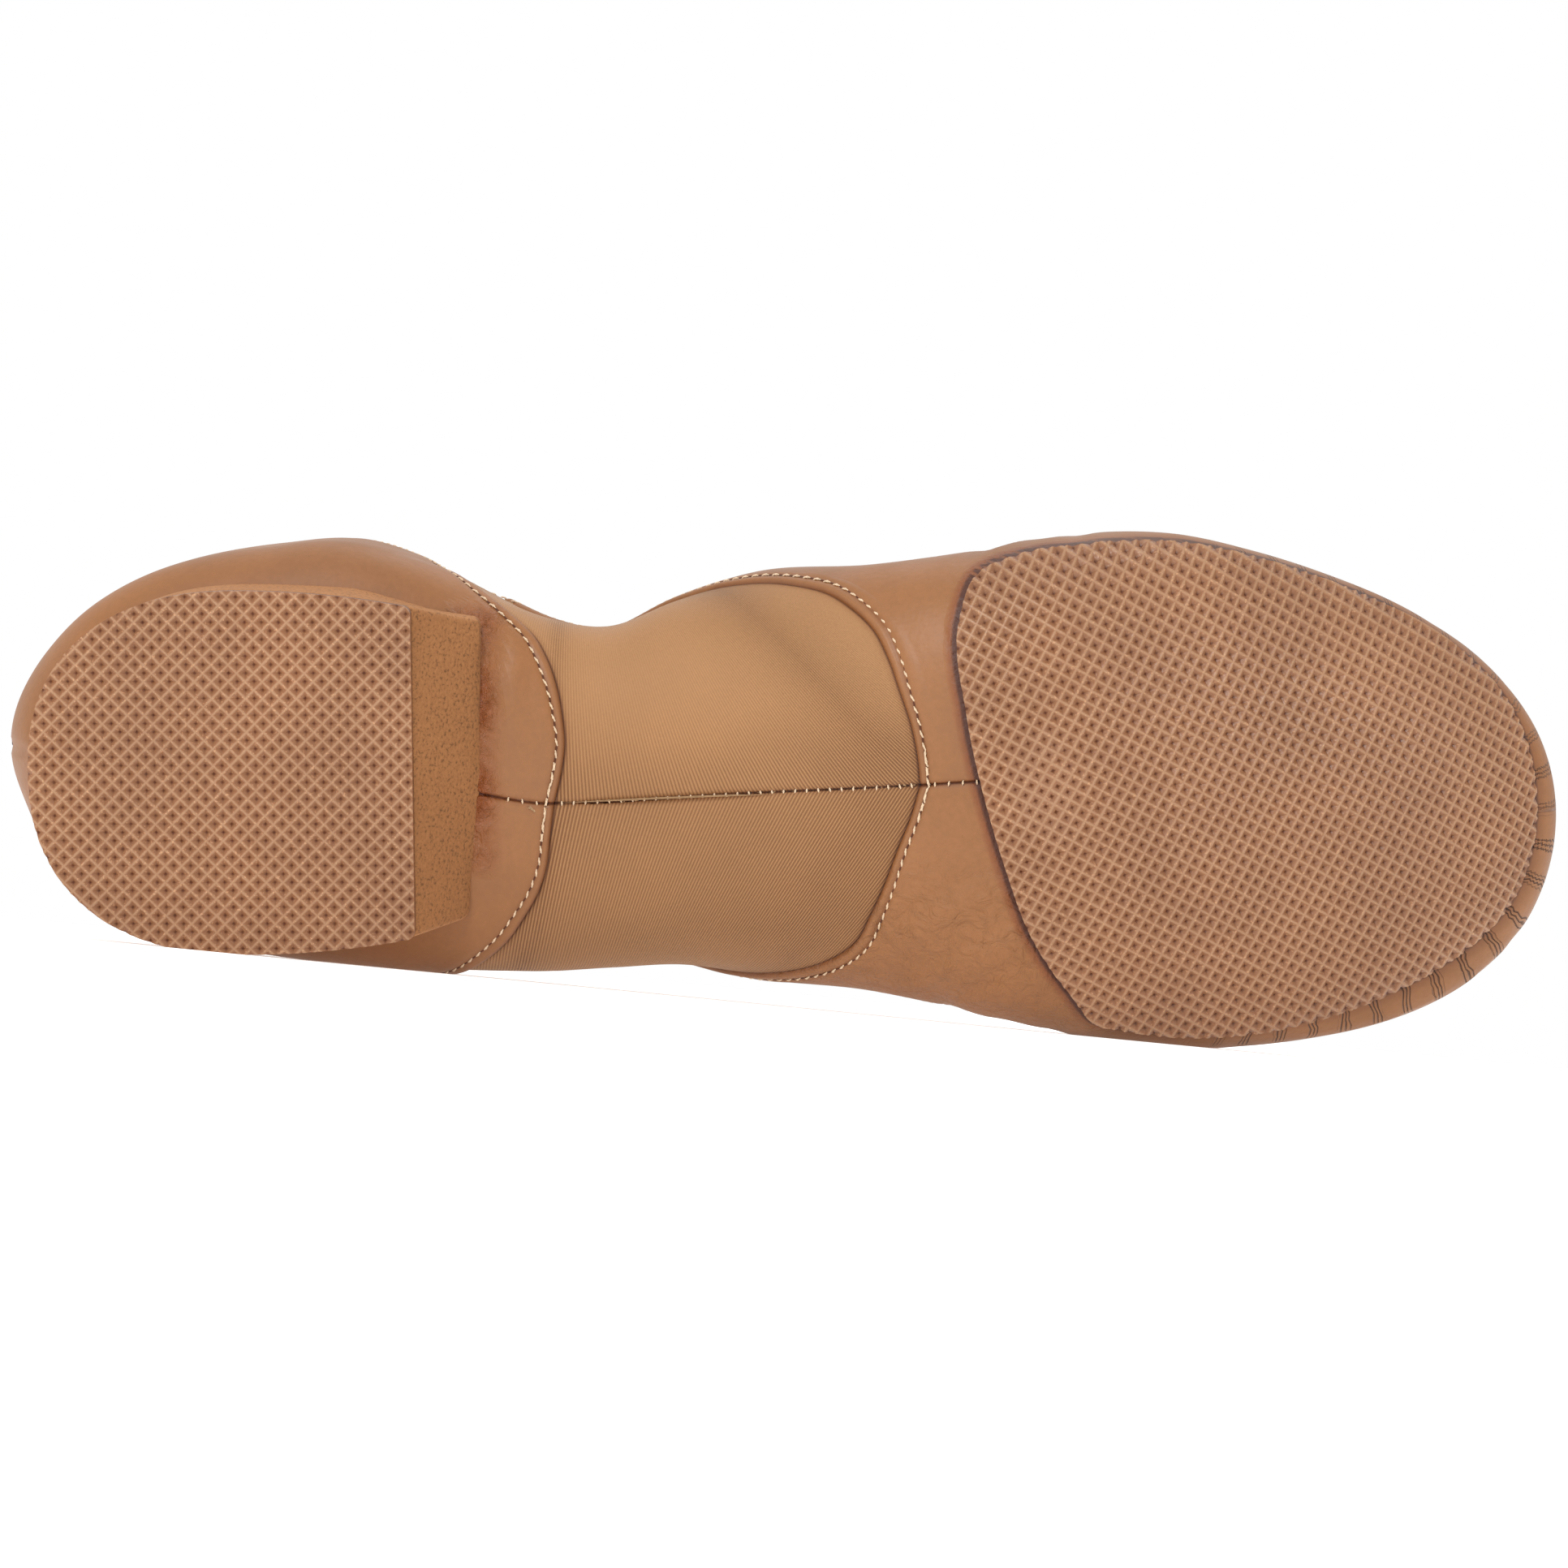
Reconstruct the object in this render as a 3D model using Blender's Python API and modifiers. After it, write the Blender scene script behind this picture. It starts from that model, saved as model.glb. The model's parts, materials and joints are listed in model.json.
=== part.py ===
"""A right-foot slip-on jazz shoe with a split sole, lying on its medial side.

The shoe is worked out standing: x runs from the heel's back to the toe, y points to the medial side
and z rises from the tread. It is then laid down on three points of its medial side. Sizes are in metres.
"""

import math
from collections import namedtuple

import bmesh
import bpy
import numpy as np
from mathutils import Matrix, Vector

# Driving sizes of the last and the upper
LENGTH = 0.250
BALL_WIDTH = 0.083
HEEL_WIDTH = 0.071
INSTEP_HEIGHT = 0.060
HEEL_HEIGHT = 0.0130
ARCH_RISE = 0.0030
TOE_SPRING = 0.0210
THROAT_DISTANCE = 0.118
BACK_HEIGHT = 0.048
ANKLE_DIP = 0.008
SEAT_TUCK = 0.0065
COLLAR_TUCK = 0.0045
HEEL_SWELL = 0.3
SEAT_TUCK_PACE = 2.2
TUCK_REACH = 0.24
LEATHER_WALL = 0.0018
NEOPRENE_WALL = 0.0010
SEAM_STEP = 0.0007

# Sole pieces and insole
CAP_LENGTH = 0.0596
CAP_WIDTH = 0.0568
CAP_THICKNESS = 0.0020
CAP_INSET = 0.0084
CAP_OFFSET = -0.0015
CAP_FULLNESS = 2.3
CAP_WIDEST = 0.55
CAP_NARROWING = 0.08
BREAST_SLANT = 0.0085
BREAST_CORNER = 0.0015
PATCH_THICKNESS = 0.0020
PATCH_LATERAL_MARGIN = 0.0026
PATCH_MEDIAL_MARGIN = 0.0052
PATCH_TOE_MARGIN = 0.0034
LASTING_MARGIN = 0.011
INSOLE_THICKNESS = 0.0030
INSOLE_START = 0.035
INSOLE_END = 0.945
INSOLE_SHARE = 0.80
INSOLE_END_FULLNESS = 0.55
FIT = 0.0003
BENT_FIT = 0.0004

# Depth of the flat that the tread wears under the ball, and that the leather takes where it lies
BALL_FLAT = 0.00025
REST_FLAT = 0.0004

# Outline of the last from above, as shares of its length and of the width there, with the keel,
# where the seam under the foot runs. A lateral or medial share counts outwards from the x axis.
Plan = namedtuple("Plan", "along lateral medial keel")
PLAN = (
    Plan(0.000, 0.050, -0.050, -0.050),
    Plan(0.008, 0.181, 0.088, -0.045),
    Plan(0.024, 0.276, 0.224, -0.035),
    Plan(0.056, 0.385, 0.340, -0.028),
    Plan(0.104, 0.470, 0.418, -0.025),
    Plan(0.168, 0.514, 0.459, -0.022),
    Plan(0.212, 0.523, 0.477, -0.010),
    Plan(0.256, 0.485, 0.493, 0.015),
    Plan(0.300, 0.420, 0.495, 0.045),
    Plan(0.344, 0.354, 0.493, 0.070),
    Plan(0.388, 0.322, 0.477, 0.066),
    Plan(0.432, 0.364, 0.461, 0.054),
    Plan(0.488, 0.408, 0.472, 0.038),
    Plan(0.560, 0.412, 0.470, 0.020),
    Plan(0.632, 0.432, 0.492, 0.000),
    Plan(0.696, 0.455, 0.525, 0.006),
    Plan(0.752, 0.449, 0.548, 0.020),
    Plan(0.808, 0.411, 0.543, 0.036),
    Plan(0.864, 0.354, 0.508, 0.050),
    Plan(0.920, 0.278, 0.445, 0.068),
    Plan(0.960, 0.190, 0.370, 0.082),
    Plan(0.984, 0.098, 0.288, 0.092),
    Plan(1.000, -0.098, 0.098, 0.098),
)

# The share of the width that follows the ball instead of the heel
Blend = namedtuple("Blend", "along ball")
BLEND = (Blend(0.0, 0.0), Blend(0.30, 0.0), Blend(0.50, 0.5), Blend(0.70, 1.0), Blend(1.0, 1.0))

# Side view: lift, arch and spring are shares of the heel height, arch rise and toe spring. Belly and
# top are shares of the instep height above the section's own underside, at its widest and its ridge.
Profile = namedtuple("Profile", "along lift arch spring belly top")
PROFILE = (
    Profile(0.00, 1.00, 0.0, 0.00, 0.22, 1.45),
    Profile(0.10, 1.00, 0.0, 0.00, 0.22, 1.45),
    Profile(0.22, 1.00, 0.0, 0.00, 0.23, 1.45),
    Profile(0.30, 1.00, 0.2, 0.00, 0.24, 1.40),
    Profile(0.38, 0.92, 1.0, 0.00, 0.27, 1.28),
    Profile(0.46, 0.72, 0.9, 0.00, 0.31, 1.03),
    Profile(0.54, 0.38, 0.5, 0.00, 0.31, 0.97),
    Profile(0.61, 0.08, 0.1, 0.00, 0.30, 0.89),
    Profile(0.67, 0.00, 0.0, 0.00, 0.29, 0.82),
    Profile(0.74, 0.00, 0.0, 0.09, 0.28, 0.75),
    Profile(0.80, 0.00, 0.0, 0.25, 0.27, 0.67),
    Profile(0.88, 0.00, 0.0, 0.50, 0.24, 0.55),
    Profile(0.95, 0.00, 0.0, 0.82, 0.17, 0.38),
    Profile(0.985, 0.00, 0.0, 1.08, 0.10, 0.21),
    Profile(1.00, 0.00, 0.0, 1.38, 0.00, 0.00),
)

# Fullness of a section below and above its widest line: 2 is an ellipse, more is squarer
Fullness = namedtuple("Fullness", "along under over")
FULLNESS = (
    Fullness(0.00, 2.6, 2.4),
    Fullness(0.25, 2.7, 2.4),
    Fullness(0.40, 2.3, 2.3),
    Fullness(0.55, 2.3, 2.1),
    Fullness(0.70, 2.35, 2.1),
    Fullness(0.90, 2.2, 2.1),
    Fullness(1.00, 2.0, 2.0),
)

# Lines across the upper: how far along the length they lie at each share of the way round,
# from the keel to the collar or the ridge
Line = namedtuple("Line", "round lateral medial")
BACK_SEAM = (Line(0.0, 0.0, 0.0), Line(0.5, 0.0, 0.0), Line(1.0, 0.0, 0.0))
HEEL_SEAM = (
    Line(0.000, 0.353, 0.353),
    Line(0.090, 0.358, 0.350),
    Line(0.160, 0.360, 0.348),
    Line(0.240, 0.358, 0.342),
    Line(0.315, 0.354, 0.332),
    Line(0.385, 0.347, 0.321),
    Line(0.440, 0.338, 0.309),
    Line(0.487, 0.322, 0.297),
    Line(0.540, 0.301, 0.282),
    Line(0.730, 0.268, 0.250),
    Line(0.870, 0.240, 0.226),
    Line(1.000, 0.208, 0.200),
)
VAMP_SEAM = (
    Line(0.000, 0.590, 0.590),
    Line(0.090, 0.588, 0.584),
    Line(0.180, 0.584, 0.576),
    Line(0.280, 0.577, 0.568),
    Line(0.375, 0.570, 0.559),
    Line(0.465, 0.560, 0.549),
    Line(0.530, 0.546, 0.532),
    Line(0.580, 0.531, 0.512),
    Line(0.620, 0.505, 0.490),
    Line(0.660, 0.470, 0.460),
    Line(0.720, 0.430, 0.426),
    Line(0.840, 0.367, 0.368),
    Line(1.000, 0.304, 0.312),
)
BALL_LINE = (Line(0.0, 0.78, 0.78), Line(0.5, 0.76, 0.76), Line(1.0, 0.70, 0.70))
THROAT_LINE_KEEL = 0.665
THROAT_LINE_BELLY = 0.600

# Rear edge of the forefoot patch, from the lateral to the medial side, as shares of the length and
# of the ball's width
Edge = namedtuple("Edge", "along across")
PATCH_REAR = (
    Edge(0.650, -0.400),
    Edge(0.623, -0.362),
    Edge(0.613, -0.290),
    Edge(0.617, -0.120),
    Edge(0.627, 0.020),
    Edge(0.641, 0.160),
    Edge(0.658, 0.290),
    Edge(0.683, 0.400),
)

# How finely the forms are divided
POINTS_ROUND = 15
LINES = {"heel": 10, "arch": 12, "vamp": 8, "fore": 8, "toe": 9}
SECTION_POINTS = 97
OUTLINE_POINTS = 44
PATCH_POINTS = 72
PATCH_RINGS = (1.0, 0.975, 0.94, 0.90, 0.84, 0.75, 0.62, 0.44, 0.22)
INSOLE_RINGS = (1.0, 0.85, 0.65, 0.42, 0.20)
SPINE_INSET = 0.25

LATERAL, MEDIAL = -1, 1

# Kilograms in a cubic metre, for finding where the shoe balances
DENSITY = {"upper": 650, "heel_block": 250, "heel_cap": 1100, "forefoot_patch": 1100, "insole": 200}


def even(along):
    """A share of the length on the scale that the tables are read on, which opens out both ends."""
    return np.arccos(1 - 2 * np.clip(along, 0, 1)) / np.pi


def read(table, column, along):
    """A column's value at a share of the length, on a smooth curve through the table's rows."""
    knots = even([row.along for row in table])
    values = np.array([getattr(row, column) for row in table])
    slopes = np.gradient(values, knots)
    at = even(along)
    low = np.clip(np.searchsorted(knots, at) - 1, 0, len(knots) - 2)
    width = knots[low + 1] - knots[low]
    t = (at - knots[low]) / width
    return (
        (1 + 2 * t) * (1 - t) ** 2 * values[low]
        + t * (1 - t) ** 2 * width * slopes[low]
        + t**2 * (3 - 2 * t) * values[low + 1]
        + t**2 * (t - 1) * width * slopes[low + 1]
    )


def width_at(along):
    """The width that the plan's shares are taken of."""
    return HEEL_WIDTH + (BALL_WIDTH - HEEL_WIDTH) * read(BLEND, "ball", along)


def keel_at(along):
    """How far to the medial side the keel lies."""
    return read(PLAN, "keel", along) * width_at(along)


def edge_at(along, side):
    """The y of the upper's widest line on one side."""
    column = "medial" if side == MEDIAL else "lateral"
    return side * read(PLAN, column, along) * width_at(along)


def underside_at(along):
    """The height of the upper's outer underside above the tread."""
    forepart = PATCH_THICKNESS + BENT_FIT - BALL_FLAT
    return (
        forepart
        + read(PROFILE, "lift", along) * (HEEL_HEIGHT + FIT - forepart)
        + read(PROFILE, "arch", along) * ARCH_RISE
        + read(PROFILE, "spring", along) * TOE_SPRING
    )


def wall_at(along):
    """The leather's wall, taken in at both ends, where the sections close to a line or a point."""
    end = 4 * LEATHER_WALL / LENGTH
    near = np.minimum(np.minimum(along, 1 - along) / end, 1)
    return LEATHER_WALL * np.sqrt(1 - (1 - near) ** 2)


def half_section(along, side):
    """The inside of the upper from the keel round one side to the ridge, as arrays of y and z."""
    wall = wall_at(along)
    keel = keel_at(along)
    reach = side * (edge_at(along, side) - keel) - wall
    low = underside_at(along)
    belly = low + read(PROFILE, "belly", along) * INSTEP_HEIGHT
    ridge = low + read(PROFILE, "top", along) * INSTEP_HEIGHT
    turn = np.linspace(-np.pi / 2, np.pi / 2, SECTION_POINTS)
    over = turn > 0
    fullness = np.where(over, read(FULLNESS, "over", along), read(FULLNESS, "under", along))
    out = np.abs(np.cos(turn)) ** (2 / fullness)
    rise = np.abs(np.sin(turn)) ** (2 / fullness)
    height = np.where(over, belly + rise * (ridge - wall - belly), belly - rise * (belly - low - wall))
    return keel + side * reach * out, height


def run_of(*coordinates):
    """The distance along a line of points, from its start to each point."""
    steps = np.sqrt(sum(np.diff(values) ** 2 for values in coordinates))
    return np.concatenate([[0], np.cumsum(steps)])


def heel_curve(along, height):
    """How far forward the back of the heel lies at a height, fading out towards the waist."""
    share = (height - HEEL_HEIGHT) / BACK_HEIGHT
    below = SEAT_TUCK * np.clip(1 - share / HEEL_SWELL, 0, 1) ** SEAT_TUCK_PACE
    above = COLLAR_TUCK * np.clip((share - HEEL_SWELL) / (1 - HEEL_SWELL), 0, 1.4) ** 2
    return (below + above) * np.clip(1 - along / TUCK_REACH, 0, 1) ** 2


def collar_height(along):
    """The height of the top line, from the back of the heel to the throat."""
    throat = THROAT_DISTANCE / LENGTH
    share = along / throat
    back = HEEL_HEIGHT + BACK_HEIGHT
    ridge = underside_at(throat) + read(PROFILE, "top", throat) * INSTEP_HEIGHT
    return back + (ridge - back) * share**2 - ANKLE_DIP * np.sin(np.pi * share)


def rim_share(along, side):
    """The share of a half section, counted along it, that lies below the top line."""
    if along >= THROAT_DISTANCE / LENGTH - 1e-6:
        return 1.0
    y, z = half_section(along, side)
    run = run_of(y, z)
    return np.interp(collar_height(along), z, run) / run[-1]


def inner_point(along, side, share):
    """A point of the upper's inside, at a share of the way along one half section."""
    y, z = half_section(along, side)
    run = run_of(y, z)
    height = np.interp(share * run[-1], run, z)
    across = np.interp(share * run[-1], run, y)
    x = LEATHER_WALL + along * (LENGTH - 2 * LEATHER_WALL) + heel_curve(along, height)
    return Vector((x, across, height))


def smooth_route(points, count):
    """Evenly spaced points on a smooth curve through the given ones, as an array of rows."""
    points = np.array(points)
    knots = run_of(*points.T)
    slopes = np.gradient(points, knots, axis=0)
    at = np.linspace(0, knots[-1], 12 * count)
    low = np.clip(np.searchsorted(knots, at, side="right") - 1, 0, len(knots) - 2)
    width = (knots[low + 1] - knots[low])[:, None]
    t = (at - knots[low])[:, None] / width
    fine = (
        (1 + 2 * t) * (1 - t) ** 2 * points[low]
        + t * (1 - t) ** 2 * width * slopes[low]
        + t**2 * (3 - 2 * t) * points[low + 1]
        + t**2 * (t - 1) * width * slopes[low + 1]
    )
    run = run_of(*fine.T)
    places = np.linspace(0, run[-1], count)
    return np.stack([np.interp(places, run, column) for column in fine.T], axis=1)


def half_girth():
    """A fair length for the way from keel to collar, which weighs a line's two directions."""
    return HEEL_WIDTH / 2 + BACK_HEIGHT


def line_across(table, side):
    """A line of the upper on one side, as rows of distance along and share round."""
    column = "medial" if side == MEDIAL else "lateral"
    unrolled = [(getattr(row, column) * LENGTH, row.round * half_girth()) for row in table]
    route = smooth_route(unrolled, POINTS_ROUND + 1)
    return route / (LENGTH, half_girth())


def moved_line(line, distance):
    """The line moved square to itself, forwards where the distance is positive."""
    unrolled = line * (LENGTH, half_girth())
    ahead = np.gradient(unrolled, axis=0)
    ahead /= np.linalg.norm(ahead, axis=1)[:, None]
    square = np.stack([ahead[:, 1], -ahead[:, 0]], axis=1)
    moved = (unrolled + distance * square) / (LENGTH, half_girth())
    moved[:, 1] = np.clip(moved[:, 1], 0, 1)
    moved[0] = line[0] + (distance / LENGTH, 0)
    moved[-1, 1] = 1
    return moved


def throat_line():
    """The line that meets the ridge just where the opening ends."""
    throat = THROAT_DISTANCE / LENGTH
    return (
        Line(0.0, THROAT_LINE_KEEL, THROAT_LINE_KEEL),
        Line(0.5, THROAT_LINE_BELLY, THROAT_LINE_BELLY),
        Line(1.0, throat, throat),
    )


def lines_of(side):
    """Every line across the upper from heel to toe, each with whether leather covers it."""
    back, heel, vamp = (line_across(table, side) for table in (BACK_SEAM, HEEL_SEAM, VAMP_SEAM))
    throat, ball = line_across(throat_line(), side), line_across(BALL_LINE, side)
    arch_start, arch_end = moved_line(heel, SEAM_STEP), moved_line(vamp, -SEAM_STEP)
    tip = ball.copy()
    tip[:, 0] = 1
    spans = (
        ("heel", back, heel, lambda t: t**1.7, True),
        ("arch", arch_start, arch_end, lambda t: t, False),
        ("vamp", vamp, throat, lambda t: 1 - (1 - t) ** 1.5, True),
        ("fore", throat, ball, lambda t: t, True),
        ("toe", ball, tip, lambda t: 1 - (1 - t) ** 2, True),
    )
    found = []
    for zone, first, last, pace, leather in spans:
        start = 0 if zone in ("heel", "arch", "vamp") else 1
        for step in range(start, LINES[zone] + 1):
            share = pace(step / LINES[zone])
            found.append((first + (last - first) * share, leather))
    return found


def last_sheet(name, closed):
    """The upper's inside as a mesh: open at the collar, or closed there to shape the soles."""
    form = bmesh.new()
    weights = form.verts.layers.deform.verify()
    for side in (LATERAL, MEDIAL):
        rows = []
        for line, leather in lines_of(side):
            rim = rim_share(line[-1, 0], side)
            row = [form.verts.new(inner_point(along, side, share * rim)) for along, share in line]
            for vert in row:
                vert[weights][0] = 1.0 if leather else 0.0
            rows.append(row)
        for row, next_row in zip(rows, rows[1:]):
            for place in range(POINTS_ROUND):
                corners = (row[place], next_row[place], next_row[place + 1], row[place + 1])
                form.faces.new(corners if side == LATERAL else corners[::-1])
    bmesh.ops.remove_doubles(form, verts=form.verts, dist=1e-6)
    bmesh.ops.dissolve_degenerate(form, edges=form.edges, dist=1e-6)
    bmesh.ops.triangulate(form, faces=form.faces)
    if closed:
        collar = [edge for edge in form.edges if edge.is_boundary]
        made = bmesh.ops.edgeloop_fill(form, edges=collar)
        bmesh.ops.poke(form, faces=made["faces"])
    bmesh.ops.recalc_face_normals(form, faces=form.faces)
    for face in form.faces:
        face.smooth = True
    mesh = bpy.data.meshes.new(name)
    form.to_mesh(mesh)
    form.free()
    return mesh


def collection_named(name):
    made = bpy.data.collections.new(name)
    bpy.context.scene.collection.children.link(made)
    return made


def add_object(name, mesh, collection, material=None):
    made = bpy.data.objects.new(name, mesh)
    collection.objects.link(made)
    if material:
        mesh.materials.append(material)
    return made


def as_cutter(made):
    made.hide_render = True
    made.display_type = "WIRE"
    return made


def finish(name, colour, roughness, metallic=0.0):
    """A plain material of the piece's own colour."""
    material = bpy.data.materials.new(name)
    material.use_nodes = True
    shader = material.node_tree.nodes["Principled BSDF"]
    shader.inputs["Base Color"].default_value = (*colour, 1)
    shader.inputs["Roughness"].default_value = roughness
    shader.inputs["Metallic"].default_value = metallic
    return material


def grown_form(name, growth, cutters):
    """The closed inside of the upper, grown outwards by a distance."""
    made = as_cutter(add_object(name, last_sheet(name, closed=True), cutters))
    displace = made.modifiers.new("grow", "DISPLACE")
    displace.strength = growth
    displace.mid_level = 0
    return made


def cut(made, cutter, operation):
    boolean = made.modifiers.new(operation.lower(), "BOOLEAN")
    boolean.operation = operation
    boolean.solver = "MANIFOLD"
    boolean.object = cutter


def add_block(name, cutters):
    """A large block whose top is the plane z = 0, to cut what stands below a floor or a tread."""
    bpy.ops.mesh.primitive_cube_add(size=4 * LENGTH, location=(0, 0, -2 * LENGTH))
    block = bpy.context.active_object
    for owner in list(block.users_collection):
        owner.objects.unlink(block)
    block.name = name
    cutters.objects.link(block)
    return as_cutter(block)


def prism(name, low_outline, high_outline, low, high):
    """A closed solid between two outlines with as many points, at two heights."""
    form = bmesh.new()
    rings = [
        [form.verts.new((x, y, z)) for x, y in outline]
        for outline, z in ((low_outline, low), (high_outline, high))
    ]
    for ring in rings:
        form.faces.new(ring)
    bmesh.ops.bridge_loops(form, edges=list(form.edges))
    bmesh.ops.recalc_face_normals(form, faces=form.faces)
    mesh = bpy.data.meshes.new(name)
    form.to_mesh(mesh)
    form.free()
    return mesh


def cap_outline(slant=0.0):
    """The heel cap's outline: a full oval at the back, a straight breast with small corners in front."""
    middle = CAP_INSET + CAP_WIDEST * CAP_LENGTH
    front = CAP_INSET + CAP_LENGTH + slant
    half = CAP_WIDTH / 2
    turns = np.linspace(0, np.pi / 2, OUTLINE_POINTS // 4)
    back = [
        (
            middle - (middle - CAP_INSET) * math.cos(turn) ** (2 / CAP_FULLNESS),
            half * math.sin(turn) ** (2 / CAP_FULLNESS),
        )
        for turn in turns
    ]
    narrowing = CAP_NARROWING * (1 + slant / CAP_LENGTH) ** 2
    sides = [
        (middle + share * (front - BREAST_CORNER - middle), half * (1 - narrowing * share**2))
        for share in np.linspace(0, 1, 6)[1:]
    ]
    corner_y = half * (1 - narrowing)
    corner = [
        (
            front - BREAST_CORNER * (1 - math.sin(turn)),
            corner_y - BREAST_CORNER * (1 - math.cos(turn)),
        )
        for turn in np.linspace(0, np.pi / 2, 4)[1:]
    ]
    medial = back + sides + corner
    lateral = [(x, -y) for x, y in reversed(medial[1:])]
    return [(x, y + CAP_OFFSET) for x, y in medial + lateral]


def patch_outline():
    """The forefoot patch's outline: the last's own, drawn in by its margins, and the rear edge."""
    start = PATCH_REAR[0].along + 0.05
    alongs = 1 - (1 - start) * np.linspace(1, 0, OUTLINE_POINTS // 2) ** 2
    points = [(along * LENGTH, edge_at(along, LATERAL)) for along in alongs]
    points += [(along * LENGTH, edge_at(along, MEDIAL)) for along in alongs[-2::-1]]
    route = smooth_route(points, 2 * PATCH_POINTS)
    ahead = np.gradient(route, axis=0)
    ahead /= np.linalg.norm(ahead, axis=1)[:, None]
    outward = np.stack([ahead[:, 1], -ahead[:, 0]], axis=1)
    side = np.where(outward[:, 1] > 0, PATCH_MEDIAL_MARGIN, PATCH_LATERAL_MARGIN)
    margin = PATCH_TOE_MARGIN * outward[:, 0] ** 2 + side * outward[:, 1] ** 2
    front = [tuple(point) for point in route - outward * margin[:, None]]
    rear = [(edge.along * LENGTH, edge.across * BALL_WIDTH) for edge in PATCH_REAR]
    closed = smooth_route(front + rear[::-1] + front[:1], PATCH_POINTS + 1)
    return [tuple(point) for point in closed[:-1]]


def insole_outline():
    """The insole's outline, drawn in from the upper's inside about the keel."""
    shares = np.sin(np.linspace(0, np.pi / 2, OUTLINE_POINTS)) ** 2
    alongs = INSOLE_START + (INSOLE_END - INSOLE_START) * shares
    ends = np.sqrt(np.clip(4 * shares * (1 - shares), 0, 1)) ** INSOLE_END_FULLNESS
    outline = []
    for side in (LATERAL, MEDIAL):
        edge = [
            (
                along * LENGTH,
                keel_at(along) + INSOLE_SHARE * end * (edge_at(along, side) - keel_at(along)),
            )
            for along, end in zip(alongs, ends)
        ]
        outline += edge if side == LATERAL else edge[-2:0:-1]
    return outline


def drawn_in(outline, distance):
    """A closed outline shrunk about its middle until its ends and sides lie further in by a distance."""
    points = np.array(outline)
    low, high = points.min(axis=0), points.max(axis=0)
    middle, half = (low + high) / 2, (high - low) / 2
    return [tuple(point) for point in middle + (points - middle) * (1 - distance / half)]


def build_upper(parts, cutters, material):
    upper = add_object("upper", last_sheet("upper", closed=False), parts, material)
    upper.vertex_groups.new(name="leather")
    wall = upper.modifiers.new("wall", "SOLIDIFY")
    wall.thickness = LEATHER_WALL
    wall.offset = 1
    wall.vertex_group = "leather"
    wall.thickness_vertex_group = NEOPRENE_WALL / LEATHER_WALL
    for name, outline, top in (
        ("heel_opening_form", cap_outline(), HEEL_HEIGHT + LASTING_MARGIN),
        ("forefoot_opening_form", patch_outline(), underside_at(1.0)),
    ):
        within = drawn_in(outline, LASTING_MARGIN)
        opening = add_object(name, prism(name, within, within, -CAP_THICKNESS, top), cutters)
        cut(upper, as_cutter(opening), "DIFFERENCE")
    return upper


def build_heel(parts, cutters, foam, rubber):
    seat = grown_form("heel_seat_form", LEATHER_WALL + FIT, cutters)
    cap = prism("heel_cap", cap_outline(), cap_outline(), 0, CAP_THICKNESS)
    heel_cap = add_object("heel_cap", cap, parts, rubber)
    low = CAP_THICKNESS + FIT
    high = HEEL_HEIGHT + 2 * CAP_THICKNESS + FIT
    slope = BREAST_SLANT / (HEEL_HEIGHT - CAP_THICKNESS)
    block = prism("heel_block", cap_outline(), cap_outline(slope * (high - low)), low, high)
    heel_block = add_object("heel_block", block, parts, foam)
    cut(heel_block, seat, "DIFFERENCE")
    return heel_block, heel_cap


def ringed_sheet(name, outline, shares, height, facing):
    """A sheet inside an outline, in rings about the keel that narrow to shares of it, at a height
    given for each share of the length. It faces up or down."""
    form = bmesh.new()
    ends = min(x for x, _ in outline), max(x for x, _ in outline)
    inset = SPINE_INSET * (ends[1] - ends[0])
    rings = []
    for share in shares:
        ring = []
        for x, y in outline:
            spine_x = min(max(x, ends[0] + inset), ends[1] - inset)
            spine_y = keel_at(spine_x / LENGTH)
            at_x, at_y = spine_x + share * (x - spine_x), spine_y + share * (y - spine_y)
            ring.append(form.verts.new((at_x, at_y, height(at_x / LENGTH))))
        rings.append(ring)
    for ring, inner in zip(rings, rings[1:]):
        for place in range(len(ring)):
            after = (place + 1) % len(ring)
            form.faces.new((ring[place], ring[after], inner[after], inner[place]))
    form.faces.new(rings[-1])
    bmesh.ops.triangulate(form, faces=form.faces)
    bmesh.ops.recalc_face_normals(form, faces=form.faces)
    form.normal_update()
    if form.faces[0].normal.z * facing < 0:
        bmesh.ops.reverse_faces(form, faces=form.faces)
    for face in form.faces:
        face.smooth = True
    mesh = bpy.data.meshes.new(name)
    form.to_mesh(mesh)
    form.free()
    return mesh


def laid_on(made, seat, thickness, upwards):
    """Projects a sheet straight up or down onto a form, then thickens it on the side that it came from."""
    wrap = made.modifiers.new("seat", "SHRINKWRAP")
    wrap.target = seat
    wrap.wrap_method = "PROJECT"
    wrap.use_project_z = True
    wrap.use_positive_direction = upwards
    wrap.use_negative_direction = not upwards
    wall = made.modifiers.new("thickness", "SOLIDIFY")
    wall.thickness = thickness
    wall.offset = 1


def build_patch(parts, cutters, rubber):
    seat = grown_form("patch_seat_form", LEATHER_WALL + BENT_FIT, cutters)
    sheet = ringed_sheet("forefoot_patch", patch_outline(), PATCH_RINGS, lambda along: -TOE_SPRING, -1)
    patch = add_object("forefoot_patch", sheet, parts, rubber)
    laid_on(patch, seat, PATCH_THICKNESS, upwards=True)
    cut(patch, add_block("tread_plane_form", cutters), "DIFFERENCE")
    return patch


def mid_height(along):
    """A height that lies well inside the upper at a share of the length."""
    return underside_at(along) + read(PROFILE, "belly", along) * INSTEP_HEIGHT


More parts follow.
